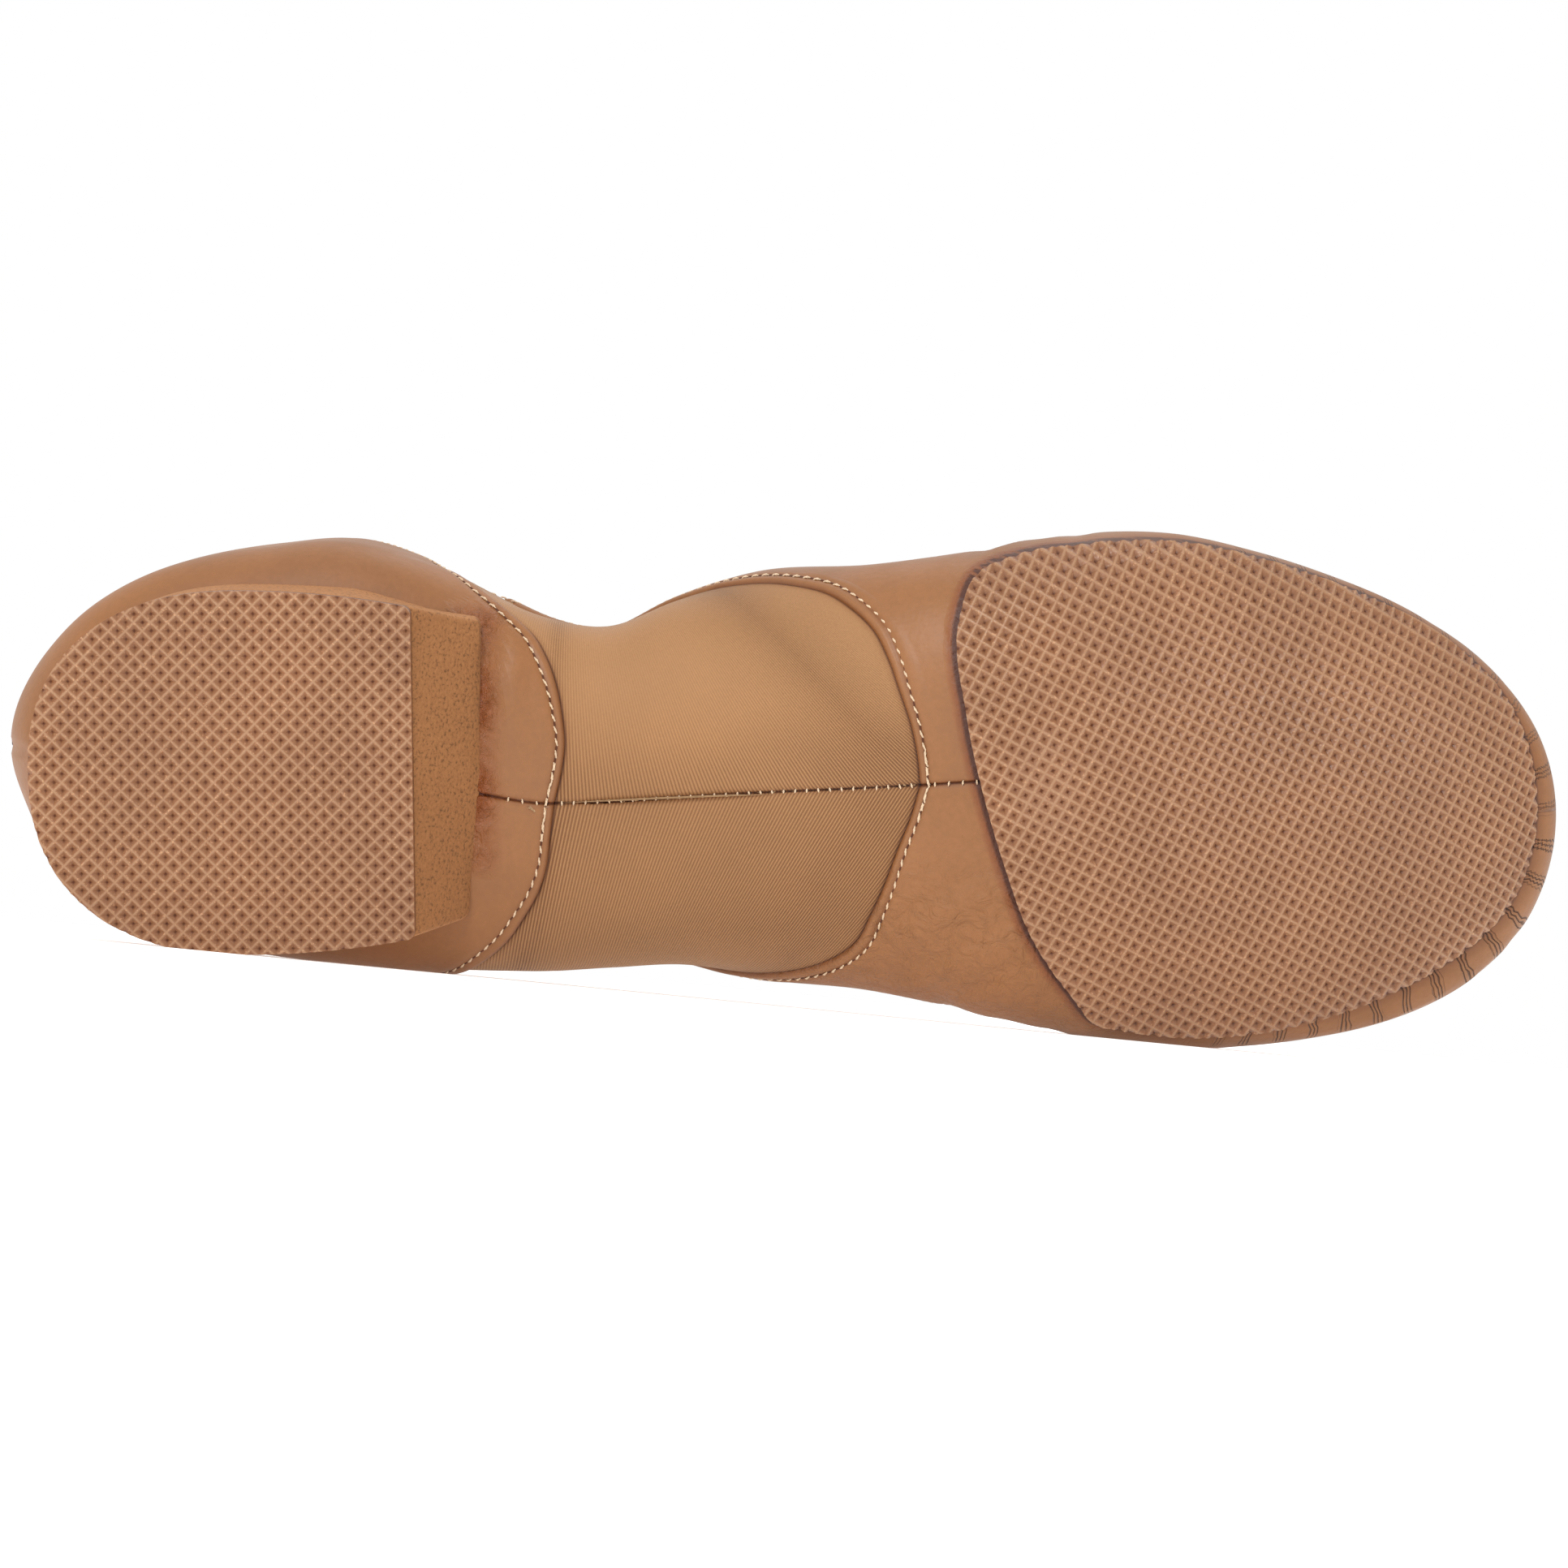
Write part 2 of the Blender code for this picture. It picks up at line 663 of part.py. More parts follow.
def build_insole(parts, cutters, lining):
    seat = grown_form("insole_seat_form", -BENT_FIT, cutters)
    sheet = ringed_sheet("insole", insole_outline(), INSOLE_RINGS, mid_height, 1)
    insole = add_object("insole", sheet, parts, lining)
    laid_on(insole, seat, INSOLE_THICKNESS, upwards=False)
    return insole


def evaluated_form(made):
    """The object's finished mesh in world space."""
    graph = bpy.context.evaluated_depsgraph_get()
    form = bmesh.new()
    form.from_object(made, graph)
    form.transform(made.matrix_world)
    return form


def balance(pieces):
    """The centre of mass of all pieces."""
    moment, mass = Vector(), 0.0
    for piece in pieces:
        form = evaluated_form(piece)
        bmesh.ops.triangulate(form, faces=form.faces)
        for face in form.faces:
            a, b, c = (vert.co for vert in face.verts)
            share = DENSITY[piece.name] * a.dot(b.cross(c)) / 6
            moment += share * (a + b + c) / 4
            mass += share
        form.free()
    return moment / mass


def resting_normal(pieces):
    """The outward normal of the medial hull face that carries the shoe when it lies on it."""
    hull = bmesh.new()
    for piece in pieces:
        form = evaluated_form(piece)
        for vert in form.verts:
            hull.verts.new(vert.co)
        form.free()
    found = bmesh.ops.convex_hull(hull, input=hull.verts)
    faces = [item for item in found["geom"] if isinstance(item, bmesh.types.BMFace)]
    centre = balance(pieces)
    carriers = []
    for face in faces:
        normal = face.normal.copy()
        if normal.dot(face.calc_center_median() - centre) < 0:
            normal.negate()
        foot = centre + normal * (face.verts[0].co - centre).dot(normal)
        corners = [vert.co - foot for vert in face.verts]
        turns = [
            normal.dot(corner.cross(after))
            for corner, after in zip(corners, corners[1:] + corners[:1])
        ]
        if min(turns) >= 0 or max(turns) <= 0:
            carriers.append(normal)
    hull.free()
    return max(carriers, key=lambda normal: normal.y)


def lay_down(pieces, holder):
    """Turns the shoe onto its medial side, toe along +X, and sets it on the floor."""
    down = resting_normal(pieces)
    toe = Vector((1, 0, 0))
    toe = (toe - down * toe.dot(down)).normalized()
    across = down.cross(toe)
    turned = Matrix((toe, -across, -down)).to_4x4()
    holder.matrix_world = turned
    bpy.context.view_layer.update()
    corners = []
    for piece in pieces:
        form = evaluated_form(piece)
        corners += [vert.co.copy() for vert in form.verts]
        form.free()
    low = [min(corner[axis] for corner in corners) for axis in range(3)]
    high = [max(corner[axis] for corner in corners) for axis in range(3)]
    drop = Vector((-(low[0] + high[0]) / 2, -(low[1] + high[1]) / 2, -low[2] - REST_FLAT))
    holder.matrix_world = Matrix.Translation(drop) @ turned
    bpy.context.view_layer.update()


def main():
    for old in list(bpy.data.objects):
        bpy.data.objects.remove(old, do_unlink=True)
    parts = collection_named("jazz_shoe")
    cutters = collection_named("jazz_shoe_cutters")
    leather = finish("tan_leather", (0.41, 0.21, 0.10), 0.55)
    foam = finish("tan_foam", (0.47, 0.25, 0.12), 0.9)
    rubber = finish("tan_rubber", (0.43, 0.21, 0.11), 0.7)
    lining = finish("insole_lining", (0.55, 0.38, 0.24), 0.85)
    holder = bpy.data.objects.new("shoe", None)
    parts.objects.link(holder)
    upper = build_upper(parts, cutters, leather)
    heel_block, heel_cap = build_heel(parts, cutters, foam, rubber)
    patch = build_patch(parts, cutters, rubber)
    insole = build_insole(parts, cutters, lining)
    pieces = [upper, heel_block, heel_cap, patch, insole]
    for made in list(parts.objects) + list(cutters.objects):
        if made != holder:
            made.parent = holder
    bpy.context.view_layer.update()
    lay_down(pieces, holder)
    floor = add_block("floor_form", cutters)
    cut(upper, floor, "DIFFERENCE")
    cut(heel_cap, floor, "DIFFERENCE")


main()
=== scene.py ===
"""The looks of a right-foot jazz shoe that lies on its side on a pale floor.

The upper's panels, the tread, the foam heel, the seams and the stitches stand around the solid model. Their
forms are worked out with the shoe standing, x from the heel's back to the toe, y to the medial side and z up
from the tread, and are then turned into the solid model's frame. Sizes are in metres.
"""

import json
import math
from collections import namedtuple

import bpy
import numpy as np
from bpy.props import FloatProperty, FloatVectorProperty, IntProperty, PointerProperty
from mathutils import Matrix, Vector
from mathutils.bvhtree import BVHTree
from mathutils.interpolate import poly_3d_calc


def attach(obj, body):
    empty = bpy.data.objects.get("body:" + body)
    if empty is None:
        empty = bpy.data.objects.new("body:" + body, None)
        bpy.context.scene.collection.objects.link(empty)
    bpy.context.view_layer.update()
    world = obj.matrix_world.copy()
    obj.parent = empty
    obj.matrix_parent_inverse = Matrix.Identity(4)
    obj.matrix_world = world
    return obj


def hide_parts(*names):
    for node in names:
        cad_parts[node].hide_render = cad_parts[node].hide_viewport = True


bl_info = {
    "name": "Jazz shoe",
    "version": (1, 0, 0),
    "blender": (4, 5, 0),
    "location": "3D View > Sidebar > Jazz shoe",
    "description": "Adds the finished pieces of a split-sole jazz shoe around its solid model",
    "category": "Object",
}

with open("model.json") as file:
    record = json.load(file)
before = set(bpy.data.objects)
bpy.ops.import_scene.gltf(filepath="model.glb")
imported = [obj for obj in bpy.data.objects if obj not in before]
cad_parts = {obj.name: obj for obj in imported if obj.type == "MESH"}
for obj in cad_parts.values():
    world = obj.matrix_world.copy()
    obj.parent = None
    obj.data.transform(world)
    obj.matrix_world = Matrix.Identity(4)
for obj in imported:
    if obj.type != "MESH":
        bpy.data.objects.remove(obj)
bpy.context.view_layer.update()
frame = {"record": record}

# Driving sizes, as in the solid model
LENGTH = 0.250
BALL_WIDTH = 0.083
HEEL_WIDTH = 0.071
INSTEP_HEIGHT = 0.060
HEEL_HEIGHT = 0.0130
ARCH_RISE = 0.0030
TOE_SPRING = 0.0210
THROAT_DISTANCE = 0.118
BACK_HEIGHT = 0.048
ANKLE_DIP = 0.008
SEAT_TUCK = 0.0065
COLLAR_TUCK = 0.0045
HEEL_SWELL = 0.3
SEAT_TUCK_PACE = 2.2
TUCK_REACH = 0.24
LEATHER_WALL = 0.0018
NEOPRENE_WALL = 0.0010
CAP_LENGTH = 0.0596
CAP_WIDTH = 0.0568
CAP_THICKNESS = 0.0020
CAP_INSET = 0.0084
CAP_OFFSET = -0.0015
CAP_FULLNESS = 2.3
CAP_WIDEST = 0.55
CAP_NARROWING = 0.08
BREAST_SLANT = 0.0085
BREAST_CORNER = 0.0015
PATCH_THICKNESS = 0.0020
PATCH_LATERAL_MARGIN = 0.0026
PATCH_MEDIAL_MARGIN = 0.0052
PATCH_TOE_MARGIN = 0.0034
INSOLE_THICKNESS = 0.0030
INSOLE_START = 0.035
INSOLE_END = 0.945
INSOLE_SHARE = 0.80
INSOLE_END_FULLNESS = 0.55
FIT = 0.0003
BENT_FIT = 0.0004
BALL_FLAT = 0.00025
THROAT = THROAT_DISTANCE / LENGTH

# The empty upper draws in at its lateral waist
WAIST_PLACE = 0.089
WAIST_REACH = 0.020
# The gathered leather stands out round the toe, beyond the tread patch
TOE_FULLNESS = 0.0024
# The sewn seam under the foot, the uneven swell of the panels and the least wall left by any trough
LEATHER_TROUGH = 0.00045
CLOTH_TROUGH = 0.00042
LEATHER_SWELL = 0.00012
LEAST_WALL = 0.0004
# The solid model's mount under the heel, from the heel's back
HEEL_MOUNT_DISTANCE = 0.038

# The camera keeps the photograph's angle to the sole and stops above the floor
CAMERA_DISTANCE = 0.503
CAMERA_LENS = 74.53
CAMERA_TILT = math.radians(7)
CAMERA_AIM = 0.1256
LOWEST_EYE = 0.0025

FLOOR_SIZE = 6.0
FLOOR_GLOW = 0.45
Light = namedtuple("Light", "name place size power")
LIGHTS = (Light("key", (-0.30, -0.90, 0.55), 0.35, 4.5), Light("top", (0.0, 0.25, 1.0), 0.8, 2.0))
LIGHT_TARGET = (0.0, 0.0, 0.04)

# The last's outline from above, in shares of its length and of the width there, and its keel, where the
# seam under the foot runs
Plan = namedtuple("Plan", "along lateral medial keel")
PLAN = (
    Plan(0.000, 0.050, -0.050, -0.050),
    Plan(0.008, 0.181, 0.088, -0.045),
    Plan(0.024, 0.276, 0.224, -0.035),
    Plan(0.056, 0.385, 0.340, -0.028),
    Plan(0.104, 0.470, 0.418, -0.025),
    Plan(0.168, 0.514, 0.459, -0.022),
    Plan(0.212, 0.523, 0.477, -0.010),
    Plan(0.256, 0.485, 0.493, 0.015),
    Plan(0.300, 0.420, 0.495, 0.045),
    Plan(0.344, 0.354, 0.493, 0.070),
    Plan(0.388, 0.322, 0.477, 0.066),
    Plan(0.432, 0.364, 0.461, 0.054),
    Plan(0.488, 0.408, 0.472, 0.038),
    Plan(0.560, 0.412, 0.470, 0.020),
    Plan(0.632, 0.432, 0.492, 0.000),
    Plan(0.696, 0.455, 0.525, 0.006),
    Plan(0.752, 0.449, 0.548, 0.020),
    Plan(0.808, 0.411, 0.543, 0.036),
    Plan(0.864, 0.354, 0.508, 0.050),
    Plan(0.920, 0.278, 0.445, 0.068),
    Plan(0.960, 0.190, 0.370, 0.082),
    Plan(0.984, 0.098, 0.288, 0.092),
    Plan(1.000, -0.098, 0.098, 0.098),
)
# How much the width there is the ball's rather than the heel's
Blend = namedtuple("Blend", "along ball")
BLEND = (Blend(0.0, 0.0), Blend(0.30, 0.0), Blend(0.50, 0.5), Blend(0.70, 1.0), Blend(1.0, 1.0))
# How far the underside rises, and the heights of its fullest place and of its ridge, in shares of the sizes
Profile = namedtuple("Profile", "along lift arch spring belly top")
PROFILE = (
    Profile(0.00, 1.00, 0.0, 0.00, 0.22, 1.45),
    Profile(0.10, 1.00, 0.0, 0.00, 0.22, 1.45),
    Profile(0.22, 1.00, 0.0, 0.00, 0.23, 1.45),
    Profile(0.30, 1.00, 0.2, 0.00, 0.24, 1.40),
    Profile(0.38, 0.92, 1.0, 0.00, 0.27, 1.28),
    Profile(0.46, 0.72, 0.9, 0.00, 0.31, 1.03),
    Profile(0.54, 0.38, 0.5, 0.00, 0.31, 0.97),
    Profile(0.61, 0.08, 0.1, 0.00, 0.30, 0.89),
    Profile(0.67, 0.00, 0.0, 0.00, 0.29, 0.82),
    Profile(0.74, 0.00, 0.0, 0.09, 0.28, 0.75),
    Profile(0.80, 0.00, 0.0, 0.25, 0.27, 0.67),
    Profile(0.88, 0.00, 0.0, 0.50, 0.24, 0.55),
    Profile(0.95, 0.00, 0.0, 0.82, 0.17, 0.38),
    Profile(0.985, 0.00, 0.0, 1.08, 0.10, 0.21),
    Profile(1.00, 0.00, 0.0, 1.38, 0.00, 0.00),
)
# How square the sections are under and over their fullest place: 2 is an oval
Fullness = namedtuple("Fullness", "along under over")
FULLNESS = (
    Fullness(0.00, 2.6, 2.4),
    Fullness(0.25, 2.7, 2.4),
    Fullness(0.40, 2.3, 2.3),
    Fullness(0.55, 2.3, 2.1),
    Fullness(0.70, 2.35, 2.1),
    Fullness(0.90, 2.2, 2.1),
    Fullness(1.00, 2.0, 2.0),
)
# Lines across the upper, from the keel (0) round to the top line (1), in shares of the length
Line = namedtuple("Line", "round lateral medial")
BACK_SEAM = (Line(0.0, 0.0, 0.0), Line(0.5, 0.0, 0.0), Line(1.0, 0.0, 0.0))
HEEL_SEAM = (
    Line(0.000, 0.353, 0.353),
    Line(0.090, 0.358, 0.350),
    Line(0.160, 0.360, 0.348),
    Line(0.240, 0.358, 0.342),
    Line(0.315, 0.354, 0.332),
    Line(0.385, 0.347, 0.321),
    Line(0.440, 0.338, 0.309),
    Line(0.487, 0.322, 0.297),
    Line(0.540, 0.301, 0.282),
    Line(0.730, 0.268, 0.250),
    Line(0.870, 0.240, 0.226),
    Line(1.000, 0.208, 0.200),
)
VAMP_SEAM = (
    Line(0.000, 0.590, 0.590),
    Line(0.090, 0.588, 0.584),
    Line(0.180, 0.584, 0.576),
    Line(0.280, 0.577, 0.568),
    Line(0.375, 0.570, 0.559),
    Line(0.465, 0.560, 0.549),
    Line(0.530, 0.546, 0.532),
    Line(0.580, 0.531, 0.512),
    Line(0.620, 0.505, 0.490),
    Line(0.660, 0.470, 0.460),
    Line(0.720, 0.430, 0.426),
    Line(0.840, 0.367, 0.368),
    Line(1.000, 0.304, 0.312),
)
BALL_LINE = (Line(0.0, 0.78, 0.78), Line(0.5, 0.76, 0.76), Line(1.0, 0.70, 0.70))
THROAT_LINE_KEEL = 0.665
THROAT_LINE_BELLY = 0.600
# The tread patch's rear edge, in shares of the length and of the ball's width
Edge = namedtuple("Edge", "along across")
PATCH_REAR = (
    Edge(0.650, -0.400),
    Edge(0.623, -0.362),
    Edge(0.613, -0.290),
    Edge(0.617, -0.120),
    Edge(0.627, 0.020),
    Edge(0.641, 0.160),
    Edge(0.658, 0.290),
    Edge(0.683, 0.400),
)
# How high the threads lie above the last, on leather and on the stretch cloth
SEAM_STITCH_HEIGHT = 0.00172
BACK_STITCH_HEIGHT = 0.00160
CENTRE_STITCH_HEIGHTS = (0.00168, 0.00096)
COLLAR_STITCH_HEIGHTS = (0.00166, 0.0009)

SECTION_POINTS = 241
SIDE_COLUMNS = 96
OUTLINE_POINTS = 240
SEAT_ROWS, SEAT_COLUMNS = 221, 121
LINE_POINTS = 161
CREASE_POINTS = 24
LATERAL, MEDIAL = -1, 1

# Distances from a cut edge, in millimetres, at which a panel has a row of points
EDGE_ROWS = (0.0, 0.12, 0.28, 0.5, 0.75, 1.0, 1.3, 1.6, 1.95, 2.4, 3.1, 4.0)
CLOTH_ROWS = (-1.0, -0.5, 0.0, 0.2, 0.4, 0.6, 0.8, 1.0, 1.2, 1.4, 1.6, 1.8, 2.0, 2.4, 2.8, 3.2, 3.6, 4.0)
# The measure kept for a row that lies far from any edge
FAR = 99
KEEL_COLUMNS = (0.0, 0.12, 0.28, 0.5, 0.8, 1.2, 1.8, 2.6)
RIM_COLUMNS = (3.0, 2.0, 1.4, 0.9, 0.5, 0.22, 0.0)

# Soft troughs (negative) and ridges of the worn leather. Points are in millimetres: along and across
# on the underside, along and up on the sides and across the instep.
Crease = namedtuple("Crease", "where depth width points")
CREASES = (
    Crease("under", -0.45, 1.0, ((79, -22), (80, -18), (79.4, -14.5), (81, -10))),
    Crease("under", 0.30, 1.2, ((81.4, -21), (82.4, -16), (82, -11))),
    Crease("under", -0.35, 0.8, ((79, -9), (79.8, -6), (80.4, -3))),
    Crease("under", -0.30, 0.8, ((78.6, 5), (80, 9), (79.4, 15))),
    Crease("under", 0.22, 1.1, ((81, 4), (82.4, 9), (81.6, 16))),
    Crease("under", -0.35, 1.5, ((137, 27), (144, 22), (153, 16), (160, 12))),
    Crease("under", 0.25, 1.6, ((140, 29), (148, 23.5), (157, 17.5))),
    Crease("under", -0.30, 1.3, ((146, 29), (153, 24), (161, 18))),
    Crease("under", -0.30, 1.6, ((158, 33), (163, 27), (166, 20))),
    Crease("under", 0.22, 1.5, ((153, 33), (159, 28), (164, 22))),
    Crease("under", -0.35, 1.1, ((143, 33), (150, 28.5), (158, 24), (165, 15))),
    Crease("under", 0.28, 1.2, ((147, 33.5), (155, 28), (163, 21))),
    Crease("under", -0.30, 1.0, ((151, 36), (160, 31), (167, 25))),
    Crease("under", -0.25, 0.9, ((163, 38), (168, 33), (170, 27))),
    Crease("under", -0.20, 1.2, ((150, -24), (154, -18), (156, -11))),
    Crease("lateral", -0.40, 1.8, ((150, 12), (157, 20), (161, 30), (160, 40))),
    Crease("lateral", 0.30, 2.2, ((155, 12), (163, 21), (167, 31), (166, 39))),
    Crease("lateral", -0.35, 2.0, ((170, 14), (173, 22), (172, 32))),
    Crease("lateral", -0.30, 1.8, ((62, 24), (68, 30), (70, 40))),
    Crease("medial", -0.40, 1.8, ((148, 12), (154, 20), (158, 30), (158, 40))),
    Crease("medial", 0.30, 2.2, ((154, 12), (160, 21), (164, 31), (163, 39))),
    Crease("medial", -0.35, 2.0, ((168, 14), (171, 23), (170, 32))),
    Crease("medial", -0.30, 1.8, ((66, 22), (71, 30), (74, 40))),
    Crease("top", -0.55, 2.4, ((158, -26), (164, -12), (166, 2), (163, 16), (157, 29))),
    Crease("top", 0.40, 2.6, ((165, -25), (171, -11), (173, 3), (170, 16), (164, 29))),
    Crease("top", -0.45, 2.2, ((172, -25), (178, -11), (180, 4), (177, 17), (171, 30))),
    Crease("top", 0.25, 2.4, ((151, -22), (156, -10), (158, 2), (156, 14), (151, 24))),
)


def length_setting(name, description, default):
    return FloatProperty(name=name, description=description, default=default, unit="LENGTH")


def angle_setting(name, description, default):
    return FloatProperty(name=name, description=description, default=default, unit="ROTATION")


def colour_setting(name, description, default):
    return FloatVectorProperty(name=name, description=description, default=default, subtype="COLOR", size=3)


class ShoeSizes(bpy.types.PropertyGroup):
    """Sizes of the details that a maker would change."""

    pit_pitch: length_setting("Forefoot pit pitch", "Distance between the forefoot's tread pits", 0.00178)
    heel_pit_pitch: length_setting("Heel pit pitch", "Distance between the heel's tread pits", 0.00185)
    pit_depth: length_setting("Pit depth", "Depth of a tread pit", 0.00060)
    pit_ridge: length_setting("Ridge width", "Width of the ridges between pits", 0.00024)
    forefoot_turn: angle_setting(
        "Forefoot tread angle", "How far the forefoot tread is turned", math.radians(29)
    )
    heel_turn: angle_setting("Heel tread angle", "How far the heel tread is turned", math.radians(45))
    stitch_pitch: length_setting("Stitch pitch", "Distance from one stitch to the next", 0.00195)
    stitch_length: length_setting("Stitch length", "Length of the thread that shows", 0.0013)
    thread: length_setting("Thread", "Thickness of the top-stitching thread", 0.00033)
    seam_margin: length_setting("Stitch margin", "How far the stitches lie from the leather's edge", 0.0014)
    ribs: IntProperty(name="Ribs", description="Ribs along the stretch panel", default=97, min=10)


class ShoeColours(bpy.types.PropertyGroup):
    """Colours of the materials, as the screen shows them."""

    leather: colour_setting("Leather", "Smooth tan leather", (0.548, 0.360, 0.200))
    neoprene: colour_setting("Neoprene", "Ribbed stretch cloth", (0.620, 0.450, 0.290))
    rubber: colour_setting("Rubber", "Ridges of the tread", (0.605, 0.452, 0.325))
    # The pit sides' and pit bottoms' darker colours are painted shade in the pits
    rubber_body: colour_setting("Rubber sides", "Sloping sides of the tread pits", (0.520, 0.340, 0.208))
    rubber_deep: colour_setting("Pits", "Bottoms of the tread pits", (0.340, 0.165, 0.072))
    foam: colour_setting("Foam", "Sanded heel foam", (0.560, 0.378, 0.226))
    thread: colour_setting("Thread", "Cream thread", (0.850, 0.745, 0.620))
    # The needle holes' dark colour is painted shade; the back seam's zigzag thread takes it too
    hole: colour_setting("Needle holes", "Dark holes between stitches", (0.330, 0.170, 0.090))
    lining: colour_setting("Lining", "Cloth inside the shoe", (0.760, 0.630, 0.480))


def linear(colour):
    """A screen colour as the shader takes it."""
    return tuple(c / 12.92 if c <= 0.04045 else ((c + 0.055) / 1.055) ** 2.4 for c in colour)


# Shared measures


def fade(values, start, reach):
    """0 up to the start and 1 once past it by the reach, which is negative for a fall."""
    return np.clip((values - start) / reach, 0, 1)


def bell(distance, reach):
    return np.exp(-((distance / reach) ** 2))


def eased(share):
    return share**2 * (3 - 2 * share)


def unit(rows):
    return rows / np.linalg.norm(rows, axis=1)[:, None]


def read_along(places, run, rows):
    """Each column of the rows, read at places on their run."""
    return np.stack([np.interp(places, run, column) for column in rows.T], axis=1)


def curve_between(t, width, first, first_slope, last, last_slope):
    """The smooth curve from one value to the next that keeps both slopes, at t of the way."""
    return (
        (1 + 2 * t) * (1 - t) ** 2 * first
        + t * (1 - t) ** 2 * width * first_slope
        + t**2 * (3 - 2 * t) * last
        + t**2 * (t - 1) * width * last_slope
    )


# The last's surface


def even(along):
    """A share of the length, spread so that both rounded ends have room."""
    return np.arccos(1 - 2 * np.clip(along, 0, 1)) / np.pi


def read(table, column, along):
    """A column's value at a share of the length, on a smooth curve through the table's rows."""
    knots = even(np.array([row.along for row in table]))
    values = np.array([getattr(row, column) for row in table])
    slopes = np.gradient(values, knots)
    at = even(along)
    low = np.clip(np.searchsorted(knots, at) - 1, 0, len(knots) - 2)
    width = knots[low + 1] - knots[low]
    t = (at - knots[low]) / width
    return curve_between(t, width, values[low], slopes[low], values[low + 1], slopes[low + 1])


def width_at(along):
    """The width that the plan's shares count, from the heel's to the ball's."""
    return HEEL_WIDTH + (BALL_WIDTH - HEEL_WIDTH) * read(BLEND, "ball", along)


def keel_at(along):
    return read(PLAN, "keel", along) * width_at(along)


def edge_at(along, side):
    column = "medial" if side == MEDIAL else "lateral"
    return side * read(PLAN, column, along) * width_at(along)


def underside_at(along):
    """The height of the upper's underside in the standing shoe."""
    forepart = PATCH_THICKNESS + BENT_FIT - BALL_FLAT
    return (
        forepart
        + read(PROFILE, "lift", along) * (HEEL_HEIGHT + FIT - forepart)
        + read(PROFILE, "arch", along) * ARCH_RISE
        + read(PROFILE, "spring", along) * TOE_SPRING
    )


def wall_at(along):
    """The leather's wall as the sections take it, which closes at both rounded ends."""
    end = 4 * LEATHER_WALL / LENGTH
    near = np.minimum(np.minimum(along, 1 - along) / end, 1)
    return LEATHER_WALL * np.sqrt(1 - (1 - near) ** 2)


def half_sections(along, side):
    """The inside of the upper from keel to ridge on one side, a row of y and of z for each share."""
    wall, keel, low = wall_at(along), keel_at(along), underside_at(along)
    reach = side * (edge_at(along, side) - keel) - wall
    belly = low + read(PROFILE, "belly", along) * INSTEP_HEIGHT
    ridge = low + read(PROFILE, "top", along) * INSTEP_HEIGHT
    turn = np.linspace(-np.pi / 2, np.pi / 2, SECTION_POINTS)
    over = turn > 0
    fullness = np.where(
        over, read(FULLNESS, "over", along)[:, None], read(FULLNESS, "under", along)[:, None]
    )
    out = np.abs(np.cos(turn)) ** (2 / fullness)
    rise = np.abs(np.sin(turn)) ** (2 / fullness)
    upper_part = belly[:, None] + rise * (ridge - wall - belly)[:, None]
    lower_part = belly[:, None] - rise * (belly - low - wall)[:, None]
    return keel[:, None] + side * reach[:, None] * out, np.where(over, upper_part, lower_part)


def runs_of(y, z):
    """How far round each point of each half section lies from the keel."""
    steps = np.hypot(np.diff(y, axis=1), np.diff(z, axis=1))
    return np.concatenate([np.zeros((len(y), 1)), np.cumsum(steps, axis=1)], axis=1)


def read_rows(at, knots, values):
    """Each row's value at its own place on its own rising knots."""
    low = np.clip((knots < at[:, None]).sum(axis=1) - 1, 0, knots.shape[1] - 2)[:, None]
    k0, k1 = np.take_along_axis(knots, low, 1)[:, 0], np.take_along_axis(knots, low + 1, 1)[:, 0]
    v0, v1 = np.take_along_axis(values, low, 1)[:, 0], np.take_along_axis(values, low + 1, 1)[:, 0]
    share = np.clip((at - k0) / np.maximum(k1 - k0, 1e-12), 0, 1)
    return v0 + (v1 - v0) * share


def heel_curve(along, height):
    """How far the heel's back curves in above and below its fullest height."""
    share = (height - HEEL_HEIGHT) / BACK_HEIGHT
    below = SEAT_TUCK * np.clip(1 - share / HEEL_SWELL, 0, 1) ** SEAT_TUCK_PACE
    above = COLLAR_TUCK * np.clip((share - HEEL_SWELL) / (1 - HEEL_SWELL), 0, 1.4) ** 2
    return (below + above) * np.clip(1 - along / TUCK_REACH, 0, 1) ** 2


def collar_height(along):
    """The top line's height, from the back over the dip at the ankle to the throat."""
    share = along / THROAT
    back = HEEL_HEIGHT + BACK_HEIGHT
    ridge = underside_at(THROAT) + read(PROFILE, "top", THROAT) * INSTEP_HEIGHT
    return back + (ridge - back) * share**2 - ANKLE_DIP * np.sin(np.pi * share)


def rim_shares(along, side):
    """The share of each half section that lies below the top line."""
    y, z = half_sections(along, side)
    run = runs_of(y, z)
    share = read_rows(collar_height(along), z, run) / run[:, -1]
    return np.where(along >= THROAT - 1e-6, 1.0, share)


def waist_nip(along, height):
    """How far the empty upper draws in at its lateral waist, more so towards the top line."""
    low, belly = underside_at(along), np.maximum(read(PROFILE, "belly", along), 0.1) * INSTEP_HEIGHT
    rise = fade(height, low + 0.3 * belly, 0.7 * belly)
    above = fade(height, low + belly, 0.016)
    waist = bell(along * LENGTH - WAIST_PLACE, WAIST_REACH)
    return waist * (0.0011 * eased(rise) + 0.0018 * above)


def inner_points(along, side, share):
    """Points of the upper's inside, at shares of the way along the half sections."""
    found = []
    for start in range(0, len(along), 4000):
        a, s = along[start : start + 4000], share[start : start + 4000]
        y, z = half_sections(a, side)
        run = runs_of(y, z)
        at = s * run[:, -1]
        height, across = read_rows(at, run, z), read_rows(at, run, y)
        x = LEATHER_WALL + a * (LENGTH - 2 * LEATHER_WALL) + heel_curve(a, height)
        if side == LATERAL:
            across = across + waist_nip(a, height)
        found.append(np.stack([x, across, height], axis=1))
    return np.concatenate(found)


